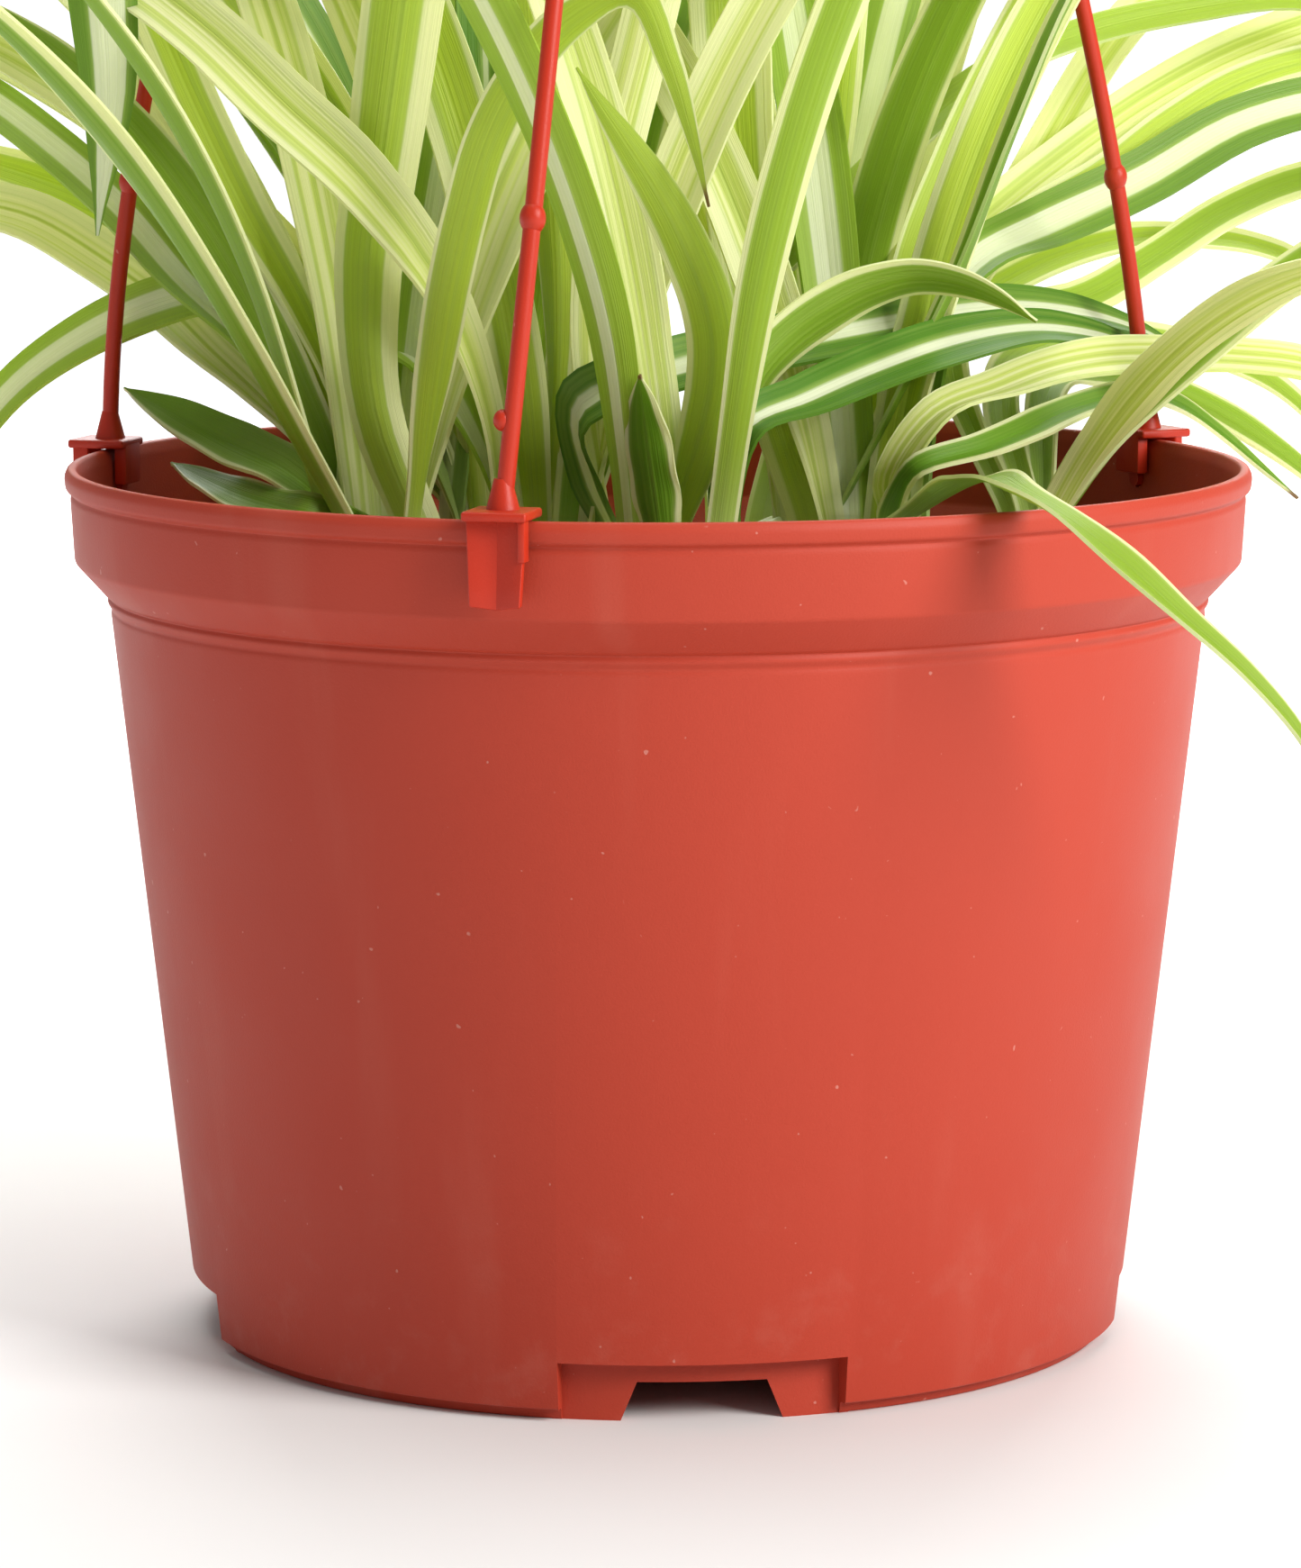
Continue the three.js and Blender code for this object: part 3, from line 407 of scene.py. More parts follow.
cut_with(pot, join_parts("upper_panels", upper_panels), "UNION")
cut_with(pot, join_parts("lower_panels", lower_panels), "UNION")
cut_with(pot, recesses, "DIFFERENCE")
cut_with(pot, openings, "DIFFERENCE")
smooth(pot, 28)
hand_over(pot, pot_plastic, "pot")
print("pot faces after cutting:", len(pot.data.polygons))

# %% [markdown]
# ## The hanger
#
# Three thin rods rise from clips on the rim and bow in to a small hub with a hook. A rod could be a
# swept circle of faces, but a curve with a round bevel is quicker to shape and just as smooth, and it
# is turned into a mesh at the end. The clips are small bars with rounded edges, joined to the rod as
# in the moulding: a flange over the lip, a leg inside, a folded tongue outside with a small web.

# %% Bend a rod
def rod(points, handles, radius):
    """A round rod, in mm above the foot. handles are the two free ones of a single bow, or None."""
    bpy.ops.object.select_all(action="DESELECT")
    bpy.ops.curve.primitive_bezier_curve_add()
    curve = bpy.context.object
    line = curve.data.splines[0]
    line.bezier_points.add(len(points) - 2)
    for knot, point in zip(line.bezier_points, points):
        knot.co = Vector(point) * MM + Vector((0, 0, FOOT))
        knot.handle_left_type = knot.handle_right_type = "AUTO" if handles is None else "FREE"
    if handles is not None:
        first, last = line.bezier_points
        first.handle_right = Vector(handles[0]) * MM + Vector((0, 0, FOOT))
        last.handle_left = Vector(handles[1]) * MM + Vector((0, 0, FOOT))
        first.handle_left = first.co * 2 - first.handle_right
        last.handle_right = last.co * 2 - last.handle_left
    curve.data.bevel_depth = radius * MM
    curve.data.bevel_resolution = 5
    curve.data.use_fill_caps = True
    curve.data.resolution_u = 56 if handles is not None else 12
    curve.location = (0, 0, 0)
    bpy.ops.object.convert(target="MESH")
    return bpy.context.object


def bead(radius, place, squash=1.0):
    """A small round lump on a rod."""
    bpy.ops.object.select_all(action="DESELECT")
    spot = (place[0] * MM, place[1] * MM, FOOT + place[2] * MM)
    bpy.ops.mesh.primitive_uv_sphere_add(segments=20, ring_count=12, radius=radius * MM, location=spot)
    bpy.context.object.scale = (1, 1, squash)
    bpy.ops.object.transform_apply(location=True, rotation=True, scale=True)
    return bpy.context.object


def bow_of(drawn_in, sway):
    """The four points that shape an arm facing +X: its root, two handles, and its end in the hub."""
    return ((99, 0, 148.2), (99 - drawn_in, sway, 237), (42 - drawn_in, sway, 369), (5, 0, 447))


def bow_at(knots, share):
    """Where an arm's centre line is at a share of its bow."""
    weights = ((1 - share) ** 3, 3 * share * (1 - share) ** 2, 3 * share ** 2 * (1 - share), share ** 3)
    return tuple(sum(w * knot[axis] for w, knot in zip(weights, knots)) for axis in range(3))


# %% Shape the clip and the arms
def tongue():
    """The clip's outer plate: folded into a shallow channel, narrower and splayed a little at its foot."""
    plate = block((100.6, -4.8, 133.5), (102.2, 4.8, 148.1))
    pick_up(plate)
    bpy.ops.object.mode_set(mode="EDIT")
    bpy.ops.mesh.select_all(action="SELECT")
    bpy.ops.mesh.subdivide(number_cuts=3)
    bpy.ops.object.mode_set(mode="OBJECT")
    for corner in plate.data.vertices:
        down = (FOOT + 0.1481 - corner.co.z) / 0.0146
        side = abs(corner.co.y) / 0.0048
        corner.co.x += 0.0013 * side + 0.001 * down
        corner.co.y *= 1 - 0.15 * down
        corner.co.z += 0.0006 * side * down
    round_off = plate.modifiers.new("edge", "BEVEL")
    round_off.width = 0.35 * MM
    round_off.segments = 3
    round_off.angle_limit = math.radians(50)
    apply_modifiers(plate)
    return plate


def flare():
    """Where the rod widens into the clip: a short cone."""
    bpy.ops.object.select_all(action="DESELECT")
    place = (0.099, 0, FOOT + 0.1509)
    wide, narrow = 2.75 * MM, 1.38 * MM
    bpy.ops.mesh.primitive_cone_add(vertices=28, radius1=wide, radius2=narrow, depth=0.0052, location=place)
    bpy.ops.object.transform_apply(location=True, rotation=True, scale=True)
    return bpy.context.object


def make_arm(side, turn, drawn_in, sway):
    knots = bow_of(drawn_in, sway)
    first, near, far, last = knots
    parts = [
        rod([first, last], (near, far), 1.4),
        bead(2.05, bow_at(knots, 0.158), 1.25),
        flare(),
        block((94.8, -5.2, 147.3), (105, 5.2, 148.8), 0.5, 3),
        block((94.8, -3.6, 141), (97.0, 3.6, 148.3), 0.4),
        tongue(),
        block((101.4, 3.6, 141), (104.2, 4.8, 148.0), 0.3),
        drill(1.4, 5.6, (99.2, 140), True, 90),
    ]
    if side == "front":
        flash = bow_at(knots, 0.052)  # a fin of plastic left where the mould closed
        parts.append(bead(1.5, (flash[0], flash[1] - 1.5, flash[2]), 1.15))
    return join_parts(f"potted_hanger_{side}", [facing(part, turn) for part in parts])


for side, bend in ARM_BENDS.items():
    arm = make_arm(side, *bend)
    smooth(arm, 27)
    hand_over(arm, hanger_plastic, f"hanger_arm_{side}")
print("arms:", list(ARM_BENDS))

# %% [markdown]
# The hub is a small turned button into which the arms' ends run, and the hook is one more bent
# rod that comes up out of it and curls over the point that bears the weight.

# %% Make the hub and the hook
HUB_OUTLINE = [(0, 441), (10.2, 441), (11, 442), (10.5, 447), (6.6, 451), (3.3, 452), (0, 452)]
hub = turned("hub", rounded(HUB_OUTLINE, 0.8), 64)
hook_line = [(0, 0, 449), (0, 0, 456), (4.84, 0, 470), (8.8, 0, 479)]
hook_line += [
    (8.8 * math.cos(math.radians(angle)), 0, 483 + 8.8 * math.sin(math.radians(angle)))
    for angle in range(20, 181, 20)
]
hook_line.append((-10.3, 0, 477))
hook = join_parts("potted_hook", [hub, rod(hook_line, None, 1.8), bead(1.85, (-10.3, 0, 477))])
smooth(hook, 40)
hand_over(hook, hanger_plastic, "hanger_hook")
print("hook faces:", len(hook.data.polygons))

# %% [markdown]
# ## Soil
#
# Potting soil is dark, crumbly peat with bits of bark and white perlite in it. The body is turned like
# the pot, with rings enough on top to push up and down in code, which suits a random surface better
# than any edit tool. The loose bits are one small lump each of a few dozen faces, copied and joined.

# %% Soil body
SOIL_OUTLINE = [(0, 8.9), (73.9, 8.9), (73.9, 11.9), (77.6, 14.4), (90.2, 119), (90.6, 122.6)]
SOIL_OUTLINE += [(88.5 - 1.77 * ring, 125.0 + 2.0 * (ring / 50)) for ring in range(50)] + [(0, 127.4)]
soil = turned("potted_soil", SOIL_OUTLINE, 150)
for grain in soil.data.vertices:
    if grain.co.z > FOOT + 0.1235:
        spot = grain.co * 1000
        rise = 1.5 * noise.noise(spot / 16) + 1.3 * noise.noise(spot / 5) + 0.7 * noise.noise(spot / 2.2)
        grain.co.z += rise * MM
smooth(soil, 60)

soil_finish, net = new_finish("soil")
place = put(net, "ShaderNodeTexCoord").outputs["Object"]
crumbs = pattern(net, place, 420.0, 6.0, 0.68)
colour = blend_colours(net, crumbs, paint(24, 16, 11), paint(92, 66, 46))
fibres = ease(net, pattern(net, place, 900.0, 2.0), 0.66, 0.74)
colour = blend_colours(net, calc(net, "MULTIPLY", fibres, 0.55), colour, paint(150, 118, 84))
relief = put(net, "ShaderNodeBump", {"Strength": 0.9, "Distance": 0.0012, "Height": crumbs})
sockets = {"Base Color": colour, "Roughness": 0.95, "Normal": relief.outputs[0]}
close_recipe(net, put(net, "ShaderNodeBsdfPrincipled", sockets).outputs[0])
hand_over(soil, soil_finish, "soil")
print("soil faces:", len(soil.data.polygons))

# %% Bark and perlite
def scatter_bits(name, count, smallest, largest, flat, chance):
    """Copies one rough lump over the soil, each copy turned, stretched and half sunk."""
    bpy.ops.object.select_all(action="DESELECT")
    bpy.ops.mesh.primitive_ico_sphere_add(subdivisions=2, radius=1)
    lump = bpy.context.object
    for corner in lump.data.vertices:
        corner.co *= 1 + 0.35 * noise.noise(corner.co * 1.7)
    bits = []
    for _ in range(count):
        bit = lump.copy()
        bit.data = lump.data.copy()
        bpy.context.collection.objects.link(bit)
        reach, around = 87 * math.sqrt(chance.random()), chance.uniform(0, math.tau)
        size = chance.uniform(smallest, largest)
        shape = Matrix.Diagonal((size * chance.uniform(0.8, 1.7), size, size * flat, 1))
        turn = Matrix.Rotation(chance.uniform(0, math.tau), 4, "Z")
        tilt = turn @ Matrix.Rotation(chance.uniform(-0.5, 0.5), 4, "X")
        spot = Vector((reach * math.cos(around), reach * math.sin(around), 126.6 + chance.uniform(-0.6, 0.9)))
        onto_soil = Matrix.Translation((0, 0, FOOT)) @ Matrix.Scale(MM, 4) @ Matrix.Translation(spot)
        bit.data.transform(onto_soil @ tilt @ shape)
        bits.append(bit)
    bpy.data.objects.remove(lump)
    return join_parts(name, bits)


def bit_finish(name, dark, pale, scale):
    finish, net = new_finish(name)
    place = put(net, "ShaderNodeTexCoord").outputs["Object"]
    mottle = pattern(net, place, scale, 5.0, 0.6)
    relief = put(net, "ShaderNodeBump", {"Strength": 0.7, "Distance": 0.0005, "Height": mottle})
    colour = blend_colours(net, mottle, dark, pale)
    sockets = {"Base Color": colour, "Roughness": 0.85, "Normal": relief.outputs[0]}
    close_recipe(net, put(net, "ShaderNodeBsdfPrincipled", sockets).outputs[0])
    return finish


bark = scatter_bits("potted_bark", 170, 1.4, 3.4, 0.45, random.Random(11))
smooth(bark, 40)
hand_over(bark, bit_finish("bark", paint(52, 34, 22), paint(128, 92, 60), 600.0))
perlite = scatter_bits("potted_perlite", 90, 0.8, 1.7, 0.85, random.Random(12))
smooth(perlite, 40)
hand_over(perlite, bit_finish("perlite", paint(196, 190, 178), paint(240, 238, 230), 900.0))
print("bits:", len(bark.data.polygons) + len(perlite.data.polygons), "faces")

# %% [markdown]
# ## Crowns
#
# Each young plant is a short stem wrapped in the pale feet of its leaves. What shows is a lumpy,
# ribbed knob at soil level. A sphere squashed and ribbed in code gives that, over the frame's own
# crown, which keeps its thick roots down in the soil.

# %% Crown finish and knobs
crown_finish, net = new_finish("crown")
place = put(net, "ShaderNodeTexCoord").outputs["Object"]
fine = put(net, "ShaderNodeMapping", {"Vector": place, "Scale": (700.0, 700.0, 60.0)}).outputs[0]
fibre = pattern(net, fine, 1.0, 3.0)
colour = blend_colours(net, fibre, paint(196, 206, 138), paint(234, 236, 204))
height = put(net, "ShaderNodeSeparateXYZ", {0: place}).outputs["Z"]
earthy = calc(net, "MULTIPLY", ease(net, height, FOOT + 0.131, FOOT + 0.125), 0.75)
colour = blend_colours(net, earthy, colour, paint(150, 120, 84))
relief = put(net, "ShaderNodeBump", {"Strength": 0.5, "Distance": 0.0005, "Height": fibre})
sockets = {"Base Color": colour, "Roughness": 0.5, "Normal": relief.outputs[0]}
close_recipe(net, put(net, "ShaderNodeBsdfPrincipled", sockets).outputs[0])

CROWN_NAMES = sorted(name for name in frame["nodes"] if name.startswith("crown_"))
CROWN_SPOT = {}
for name in CROWN_NAMES:
    node = frame["nodes"][name]
    top = max(corner.co.z for corner in node.data.vertices)
    near_top = [corner.co for corner in node.data.vertices if corner.co.z > top - 0.0005]
    middle = sum(near_top, Vector()) / len(near_top)
    CROWN_SPOT[name[6:]] = middle
    node.data.materials.clear()
    node.data.materials.append(crown_finish)
    bpy.ops.object.select_all(action="DESELECT")
    bpy.ops.mesh.primitive_uv_sphere_add(segments=72, ring_count=24, radius=0.0145, location=(0, 0, 0))
    knob = bpy.context.object
    knob.name = f"potted_{name}"
    for corner in knob.data.vertices:
        around = math.atan2(corner.co.y, corner.co.x)
        rib = 1 + 0.07 * math.sin(7 * around + middle.x * 90) + 0.05 * math.sin(17 * around)
        corner.co.x *= rib
        corner.co.y *= rib
        corner.co.z = corner.co.z * 0.66 + 0.0004 * math.sin(9 * around)
        corner.co += Vector((middle.x, middle.y, top - 0.0082))
    smooth(knob, 60)
    hand_over(knob, crown_finish)
print("crowns:", {name: tuple(round(part, 3) for part in spot) for name, spot in CROWN_SPOT.items()})

# %% [markdown]
# ## Leaf finishes
#
# A spider plant's leaf is striped lengthwise. In one kind the middle is green and the margins cream,
# in the other the middle is white and the margins green, and a few leaves are pale nearly all over.
# The stripes follow the leaf, so the recipe reads the leaf's own UV map: across it from 0 to 1, and
# along it from the crown to the tip. Noise that is stretched along the leaf frays the stripes and
# draws the fine parallel veins. Three numbers stored on each leaf vary it: how bright its green is,
# how much of its width the margin or band takes, and a seed. Light passes through thin leaves, so
# each finish is part glossy skin and part translucent.

# %% Mix a leaf finish
CREAM = paint(254, 252, 212)
WHITE = paint(252, 253, 238)


def striped(net, across, along, seed, lines_across, lines_along, shift):
    """Noise in long thin lines: many across the leaf, few along it, and different on every leaf."""
    x = calc(net, "MULTIPLY", across, lines_across)
    y = calc(net, "MULTIPLY", along, lines_along)
    z = calc(net, "MULTIPLY_ADD", seed, 43.0, shift)
    where = put(net, "ShaderNodeCombineXYZ", {0: x, 1: y, 2: z}).outputs[0]
    return pattern(net, where, 1.0, 2.0, 0.45)


def leaf_finish(name, dark, bright, inside_out, pale_share):
    """inside_out puts the pale stripe in the middle. pale_share washes the green out towards cream."""
    finish, net = new_finish(name)
    uv = put(net, "ShaderNodeUVMap", uv_map="UVMap").outputs[0]
    across, along, _ = put(net, "ShaderNodeSeparateXYZ", {0: uv}).outputs
    stored = put(net, "ShaderNodeAttribute", attribute_name="leaf").outputs["Color"]
    tone, band, seed = put(net, "ShaderNodeSeparateColor", {0: stored}).outputs
    drift = striped(net, across, along, seed, 2.0, 2.2, 1.0)
    lines = striped(net, across, along, seed, 9.0, 0.7, 7.0)
    veins = striped(net, across, along, seed, 46.0, 1.2, 13.0)

    # 0 at the midrib and 1 at the edges, pushed a little to one side and frayed
    side = calc(net, "MULTIPLY_ADD", across, 2.0, -1.0)
    pushed = calc(net, "MULTIPLY_ADD", calc(net, "SUBTRACT", seed, 0.5), 0.22, side)
    frayed = calc(net, "MULTIPLY_ADD", calc(net, "SUBTRACT", drift, 0.5), 0.45, calc(net, "ABSOLUTE", pushed))
    frayed = calc(net, "MULTIPLY_ADD", calc(net, "SUBTRACT", lines, 0.5), 0.2, frayed)
    limit = band if inside_out else calc(net, "SUBTRACT", 1.0, band)
    beyond = calc(net, "SUBTRACT", frayed, limit)
    stripe = ease(net, beyond, 0.05, -0.05) if inside_out else ease(net, beyond, -0.05, 0.05)
    halo = ease(net, beyond, 0.2, -0.02) if inside_out else ease(net, beyond, -0.2, 0.02)

    green = blend_colours(net, tone, dark, bright)
    light_lines = calc(net, "MULTIPLY", ease(net, lines, 0.4, 0.75), 0.4)
    green = blend_colours(net, light_lines, green, paint(182, 208, 96))
    green = blend_colours(net, spread(net, veins, 0.0, 0.3), green, paint(52, 92, 22))
    green = blend_colours(net, calc(net, "MULTIPLY", ease(net, lines, 0.62, 0.3), pale_share), green, CREAM)
    colour = blend_colours(net, calc(net, "MULTIPLY", halo, 0.45), green, paint(196, 214, 120))
    palest = WHITE if inside_out else CREAM
    pale = blend_colours(net, spread(net, veins, 0.0, 0.5), palest, paint(206, 220, 136))
    colour = blend_colours(net, calc(net, "MULTIPLY", stripe, 0.94), colour, pale)
    foot = ease(net, along, 0.16, 0.0)
    colour = blend_colours(net, calc(net, "MULTIPLY", foot, 0.75), colour, paint(222, 228, 176))
    dry = calc(net, "MULTIPLY", ease(net, along, 0.972, 0.99), ease(net, seed, 0.45, 0.55))
    colour = blend_colours(net, calc(net, "MULTIPLY", dry, 0.9), colour, paint(146, 108, 62))

    groove = ease(net, calc(net, "ABSOLUTE", side), 0.0, 0.1)
    relief = calc(net, "ADD", calc(net, "MULTIPLY", veins, 0.8), calc(net, "MULTIPLY", groove, 0.5))
    relief = calc(net, "ADD", relief, calc(net, "MULTIPLY", lines, 0.7))
    bump = put(net, "ShaderNodeBump", {"Strength": 0.55, "Distance": 0.0003, "Height": relief}).outputs[0]
    sheen = spread(net, lines, 0.36, 0.5)
    sockets = {"Base Color": colour, "Roughness": sheen, "Normal": bump, "Specular IOR Level": 0.4}
    skin = put(net, "ShaderNodeBsdfPrincipled", sockets).outputs[0]
    glow = blend_colours(net, 0.5, colour, paint(236, 240, 140), "MULTIPLY")
    through = put(net, "ShaderNodeBsdfTranslucent", {"Color": glow, "Normal": bump}).outputs[0]
    close_recipe(net, put(net, "ShaderNodeMixShader", {0: 0.46, 1: skin, 2: through}).outputs[0])
    return finish


EDGED, CENTRED, PALE = "leaf_cream_edged", "leaf_white_centred", "leaf_pale"
LEAF_KINDS = {  # dark green, bright green, pale stripe in the middle, share washed out to cream
    EDGED: (paint(100, 162, 22), paint(228, 244, 88), False, 0.0),
    CENTRED: (paint(78, 140, 30), paint(206, 232, 84), True, 0.0),
    PALE: (paint(196, 224, 84), paint(238, 246, 130), False, 0.8),
}
LEAF_FINISH = {name: leaf_finish(name, *kind) for name, kind in LEAF_KINDS.items()}
print("leaf finishes:", list(LEAF_FINISH))

# %% [markdown]
# ## Reading a leaf from the frame
#
# A frame leaf is a solid of four-cornered sections, like a stretched cone. Its place and bend are
# right, but it is thick and coarse. To build a finer blade in the same place, its sections are read
# back: starting from the tip, each ring of four corners is found from the ring before. Of the four,
# the two farthest apart are the leaf's edges and the other two are the upper and lower midrib.

# %% Find the sections of a frame leaf
def read_sections(node):
    """Centre, half-width and channel vectors of a frame leaf's sections, from its crown to its tip."""
    places = np.empty(len(node.data.vertices) * 3, dtype=np.float32)
    node.data.vertices.foreach_get("co", places)
    spots, which = np.unique(np.round(places.reshape(-1, 3).astype(float) * 1e6), axis=0, return_inverse=True)
    spots, which = spots * 1e-6, which.ravel()
    near = [set() for _ in spots]
    for face in node.data.polygons:
        corners = [int(which[index]) for index in face.vertices]
        for corner in corners:
            near[corner].update(corners)
    best, best_reach = None, 0.0
    for start in (index for index in range(len(spots)) if len(near[index] - {index}) == 4):
        rings, seen = [[start]], {start}
        while True:
            ring = sorted(set().union(*(near[index] for index in rings[-1])) - seen)
            if not ring:
                break
            rings.append(ring)
            seen.update(ring)
        reach = float(np.linalg.norm(spots[rings[1]].mean(axis=0) - spots[start]))
        if all(len(ring) == 4 for ring in rings[1:-1]) and reach > best_reach:
            best, best_reach = rings, reach
    centres, halves, rises = [spots[best[0][0]]], [np.zeros(3)], [np.zeros(3)]
    for ring in (ring for ring in best[1:] if len(ring) == 4):
        pairs = [(a, b) for a in ring for b in ring if a < b]
        left, right = max(pairs, key=lambda pair: np.linalg.norm(spots[pair[0]] - spots[pair[1]]))
        midrib = spots[[corner for corner in ring if corner not in (left, right)]].mean(axis=0)
        half = (spots[right] - spots[left]) / 2
        if np.dot(half, halves[-1]) < 0:
            half = -half
        centres.append(midrib)
        halves.append(half)
        rises.append((spots[left] + spots[right]) / 2 - midrib)
    return [np.array(rows[::-1]) for rows in (centres, halves, rises)]


# %% [markdown]
# ## Growing a blade
#
# The sections are joined by a smooth curve (Catmull-Rom) and a flat grid is laid along it: the grid's
# X goes across the leaf and its Y along it, so its UV map already fits the stripes. Moving the grid's
# points in code keeps the stripes straight on a leaf that arches and rolls, which a bend tool would
# not. The edges lift into a shallow channel, and ripple slightly as real ones do. The sheet is then
# given its thickness. The foot is carried on down into the crown, and clasps it by being broader.

# %% Blade helpers
ACROSS, ALONG = 10, 64  # faces of a blade
BLADE_THICKNESS = 0.6 * MM
FOOT_DEPTH = 9 * MM  # how far a blade goes down into its crown
SPINE_STEPS = 13  # sections of a leaf that is grown from its spine


def smooth_rows(rows, count):
    """Points on a Catmull-Rom curve through the rows, evenly spaced in steps."""
    rows = np.vstack([2 * rows[0] - rows[1], rows, 2 * rows[-1] - rows[-2]])
    at = np.linspace(0, len(rows) - 3, count)
    step = np.minimum(at.astype(int), len(rows) - 4)
    t = (at - step)[:, None]
    a, b, c, d = (rows[step + shift] for shift in range(4))
    return 0.5 * (2 * b + (c - a) * t + (2 * a - 5 * b + 4 * c - d) * t**2 + (3 * b - a - 3 * c + d) * t**3)


def with_foot(centres, halves, rises, depth):
    """Adds a section lower down, so that the leaf comes out of its crown and not off its top."""
    down = centres[0] - centres[1]
    down = down / np.linalg.norm(down) + np.array([0, 0, -1.2])
    foot = centres[0] + down / np.linalg.norm(down) * depth
    return np.vstack([foot, centres]), np.vstack([halves[0] * 1.1, halves]), np.vstack([rises[0], rises])


def clasping(halves):
    """Broadens a blade towards its crown, which it clasps: the frame's solid is slimmer there."""
    share = np.linspace(0, 1, len(halves))[:, None]
    return halves * (1 + 0.75 * np.clip(1 - share / 0.3, 0, 1))


def sections_along(points, width, facing_share, full_until=0.45):
    """Sections of a leaf from its spine's points, in metres. facing_share rolls its face to the front."""
    spine = smooth_rows(np.array(points), SPINE_STEPS)
    ahead = np.gradient(spine, axis=0)
    ahead /= np.linalg.norm(ahead, axis=1, keepdims=True)
    outward = spine[-1] - spine[0]
    outward[2] = 0
    level = np.cross((0, 0, 1), outward / max(np.linalg.norm(outward), 1e-6))
    front = np.array((0, -1, 0.15)) * (-1 if outward[1] < 0 else 1)
    share = np.linspace(0, 1, SPINE_STEPS)[:, None]
    upper = np.cross(ahead, level)
    upper /= np.linalg.norm(upper, axis=1, keepdims=True)
    rolled = facing_share * np.clip((share - 0.04) / 0.26, 0, 1)
    upper = upper * (1 - rolled) + front * rolled
    upper -= ahead * np.sum(upper * ahead, axis=1, keepdims=True)
    upper /= np.linalg.norm(upper, axis=1, keepdims=True)
    opened = 0.5 + 0.5 * np.clip(share / 0.3, 0, 1)
    taper = 1 - np.clip((share - full_until) / (1 - full_until), 0, 1) ** 2.3
    half = np.cross(ahead, upper) * width / 2 * opened * taper
    fold = 0.6 - 0.35 * np.clip(share / 0.4, 0, 1)
    return spine, half, upper * np.linalg.norm(half, axis=1, keepdims=True) * fold


def make_blade(name, sections, look, slot):
    """Lays a grid along a leaf's sections. look is (tone, band, seed)."""
    centres, halves, rises = (smooth_rows(rows, ALONG + 1) for rows in with_foot(*sections, FOOT_DEPTH))
    last = halves[-2] / np.linalg.norm(halves[-2])
    halves[-1] = last * 0.0002
    halves = clasping(halves)
    bpy.ops.object.select_all(action="DESELECT")
    bpy.ops.mesh.primitive_grid_add(x_subdivisions=ACROSS, y_subdivisions=ALONG, size=1, calc_uvs=True)
    blade = bpy.context.object
    blade.name = blade.data.name = name
    flat = np.empty(len(blade.data.vertices) * 3, dtype=np.float32)
    blade.data.vertices.foreach_get("co", flat)
    flat = flat.reshape(-1, 3)
    across = flat[:, :1] * 2
    row = np.rint((flat[:, 1] + 0.5) * ALONG).astype(int)
    share = row[:, None] / ALONG
    lift = rises / np.maximum(np.linalg.norm(rises, axis=1, keepdims=True), 1e-9)
    ripple = 0.00035 * np.sin(share * 23 + look[2] * 40 + 1.3 * across) * across**2 * np.sin(share * math.pi)
    bent = centres[row] + halves[row] * across + rises[row] * np.abs(across) ** 1.35 + lift[row] * ripple
    blade.data.vertices.foreach_set("co", bent.astype(np.float32).ravel())
    stored = blade.data.color_attributes.new("leaf", "FLOAT_COLOR", "POINT")
    stored.data.foreach_set("color", list((*look, 1.0)) * len(blade.data.vertices))
    thick = blade.modifiers.new("thickness", "SOLIDIFY")
    thick.thickness = BLADE_THICKNESS
    thick.offset = 0.0
    apply_modifiers(blade)
    smooth(blade, 50)
    hand_over(blade, LEAF_FINISH[slot])
    return blade


# %% [markdown]
# ## The leaves of the frame
#
# Every leaf of the frame gets its fine blade. Some leaves are known well: how bright their green is
# (0 dark, 1 bright) and how wide their pale margin or band (a share of the half-width). The others
# get a seeded, repeatable choice.

# %% Dress the frame's leaves
KNOWN_LOOKS = {
    "right_1": (0.4, 0.12), "front_1": (0.12, 0.26), "front_2": (0.08, 0.2), "middle_1": (0.12, 0.3),
    "middle_2": (0.9, 0.46), "right_2": (0.95, 0.04), "front_3": (0.3, 0.22), "right_3": (0.1, 0.2),
    "left_1": (0.75, 0.16), "front_4": (0.75, 0.14), "left_2": (0.75, 0.34), "middle_3": (0.9, 0.3),
    "left_3": (0.8, 0.4), "left_4": (0.75, 0.4), "left_5": (0.8, 0.3), "left_6": (0.25, 0.08),
    "left_7": (0.2, 0.08), "middle_4": (0.15, 0.14), "middle_5": (0.85, 0.16), "middle_6": (0.95, 0.4),
    "back_left_1": (0.15, 0.24), "right_4": (0.85, 0.4), "middle_7": (0.6, 0.03), "back_right_1": (0.9, 0.26),
    "back_right_2": (0.9, 0.4), "right_5": (0.85, 0.16), "back_right_3": (0.95, 0.5), "right_6": (0.3, 0.42),
    "back_right_4": (0.95, 0.4), "back_right_5": (0.9, 0.3), "side_right_1": (0.4, 0.2),
    "side_right_2": (0.55, 0.22), "back_right_6": (0.7, 0.3), "side_right_3": (0.5, 0.3),
    "back_left_2": (0.3, 0.5),
}
FACES_FRONT = {"leaf_back_left_2": 12.5}  # hangs down flat to the front, this many mm wide
chance = random.Random(7)
leaf_nodes = sorted(name for name in frame["nodes"] if name.startswith("leaf_"))
for name in leaf_nodes:
    seed = round(chance.random(), 3)
    free_look = (round(chance.uniform(0.25, 0.95), 2), round(chance.uniform(0.12, 0.4), 2))
    tone, band = KNOWN_LOOKS.get(name[5:], free_look)
    sections = read_sections(frame["nodes"][name])
    if name in FACES_FRONT:
        sections = sections_along(sections[0], FACES_FRONT[name] * MM, 1.0, 0.8)
    blade = make_blade(f"blade_{name[5:]}", sections, (tone, band, seed), SLOT_OF[name])
    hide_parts(name)
print("leaves of the frame:", len(leaf_nodes), "faces each:", len(blade.data.polygons))

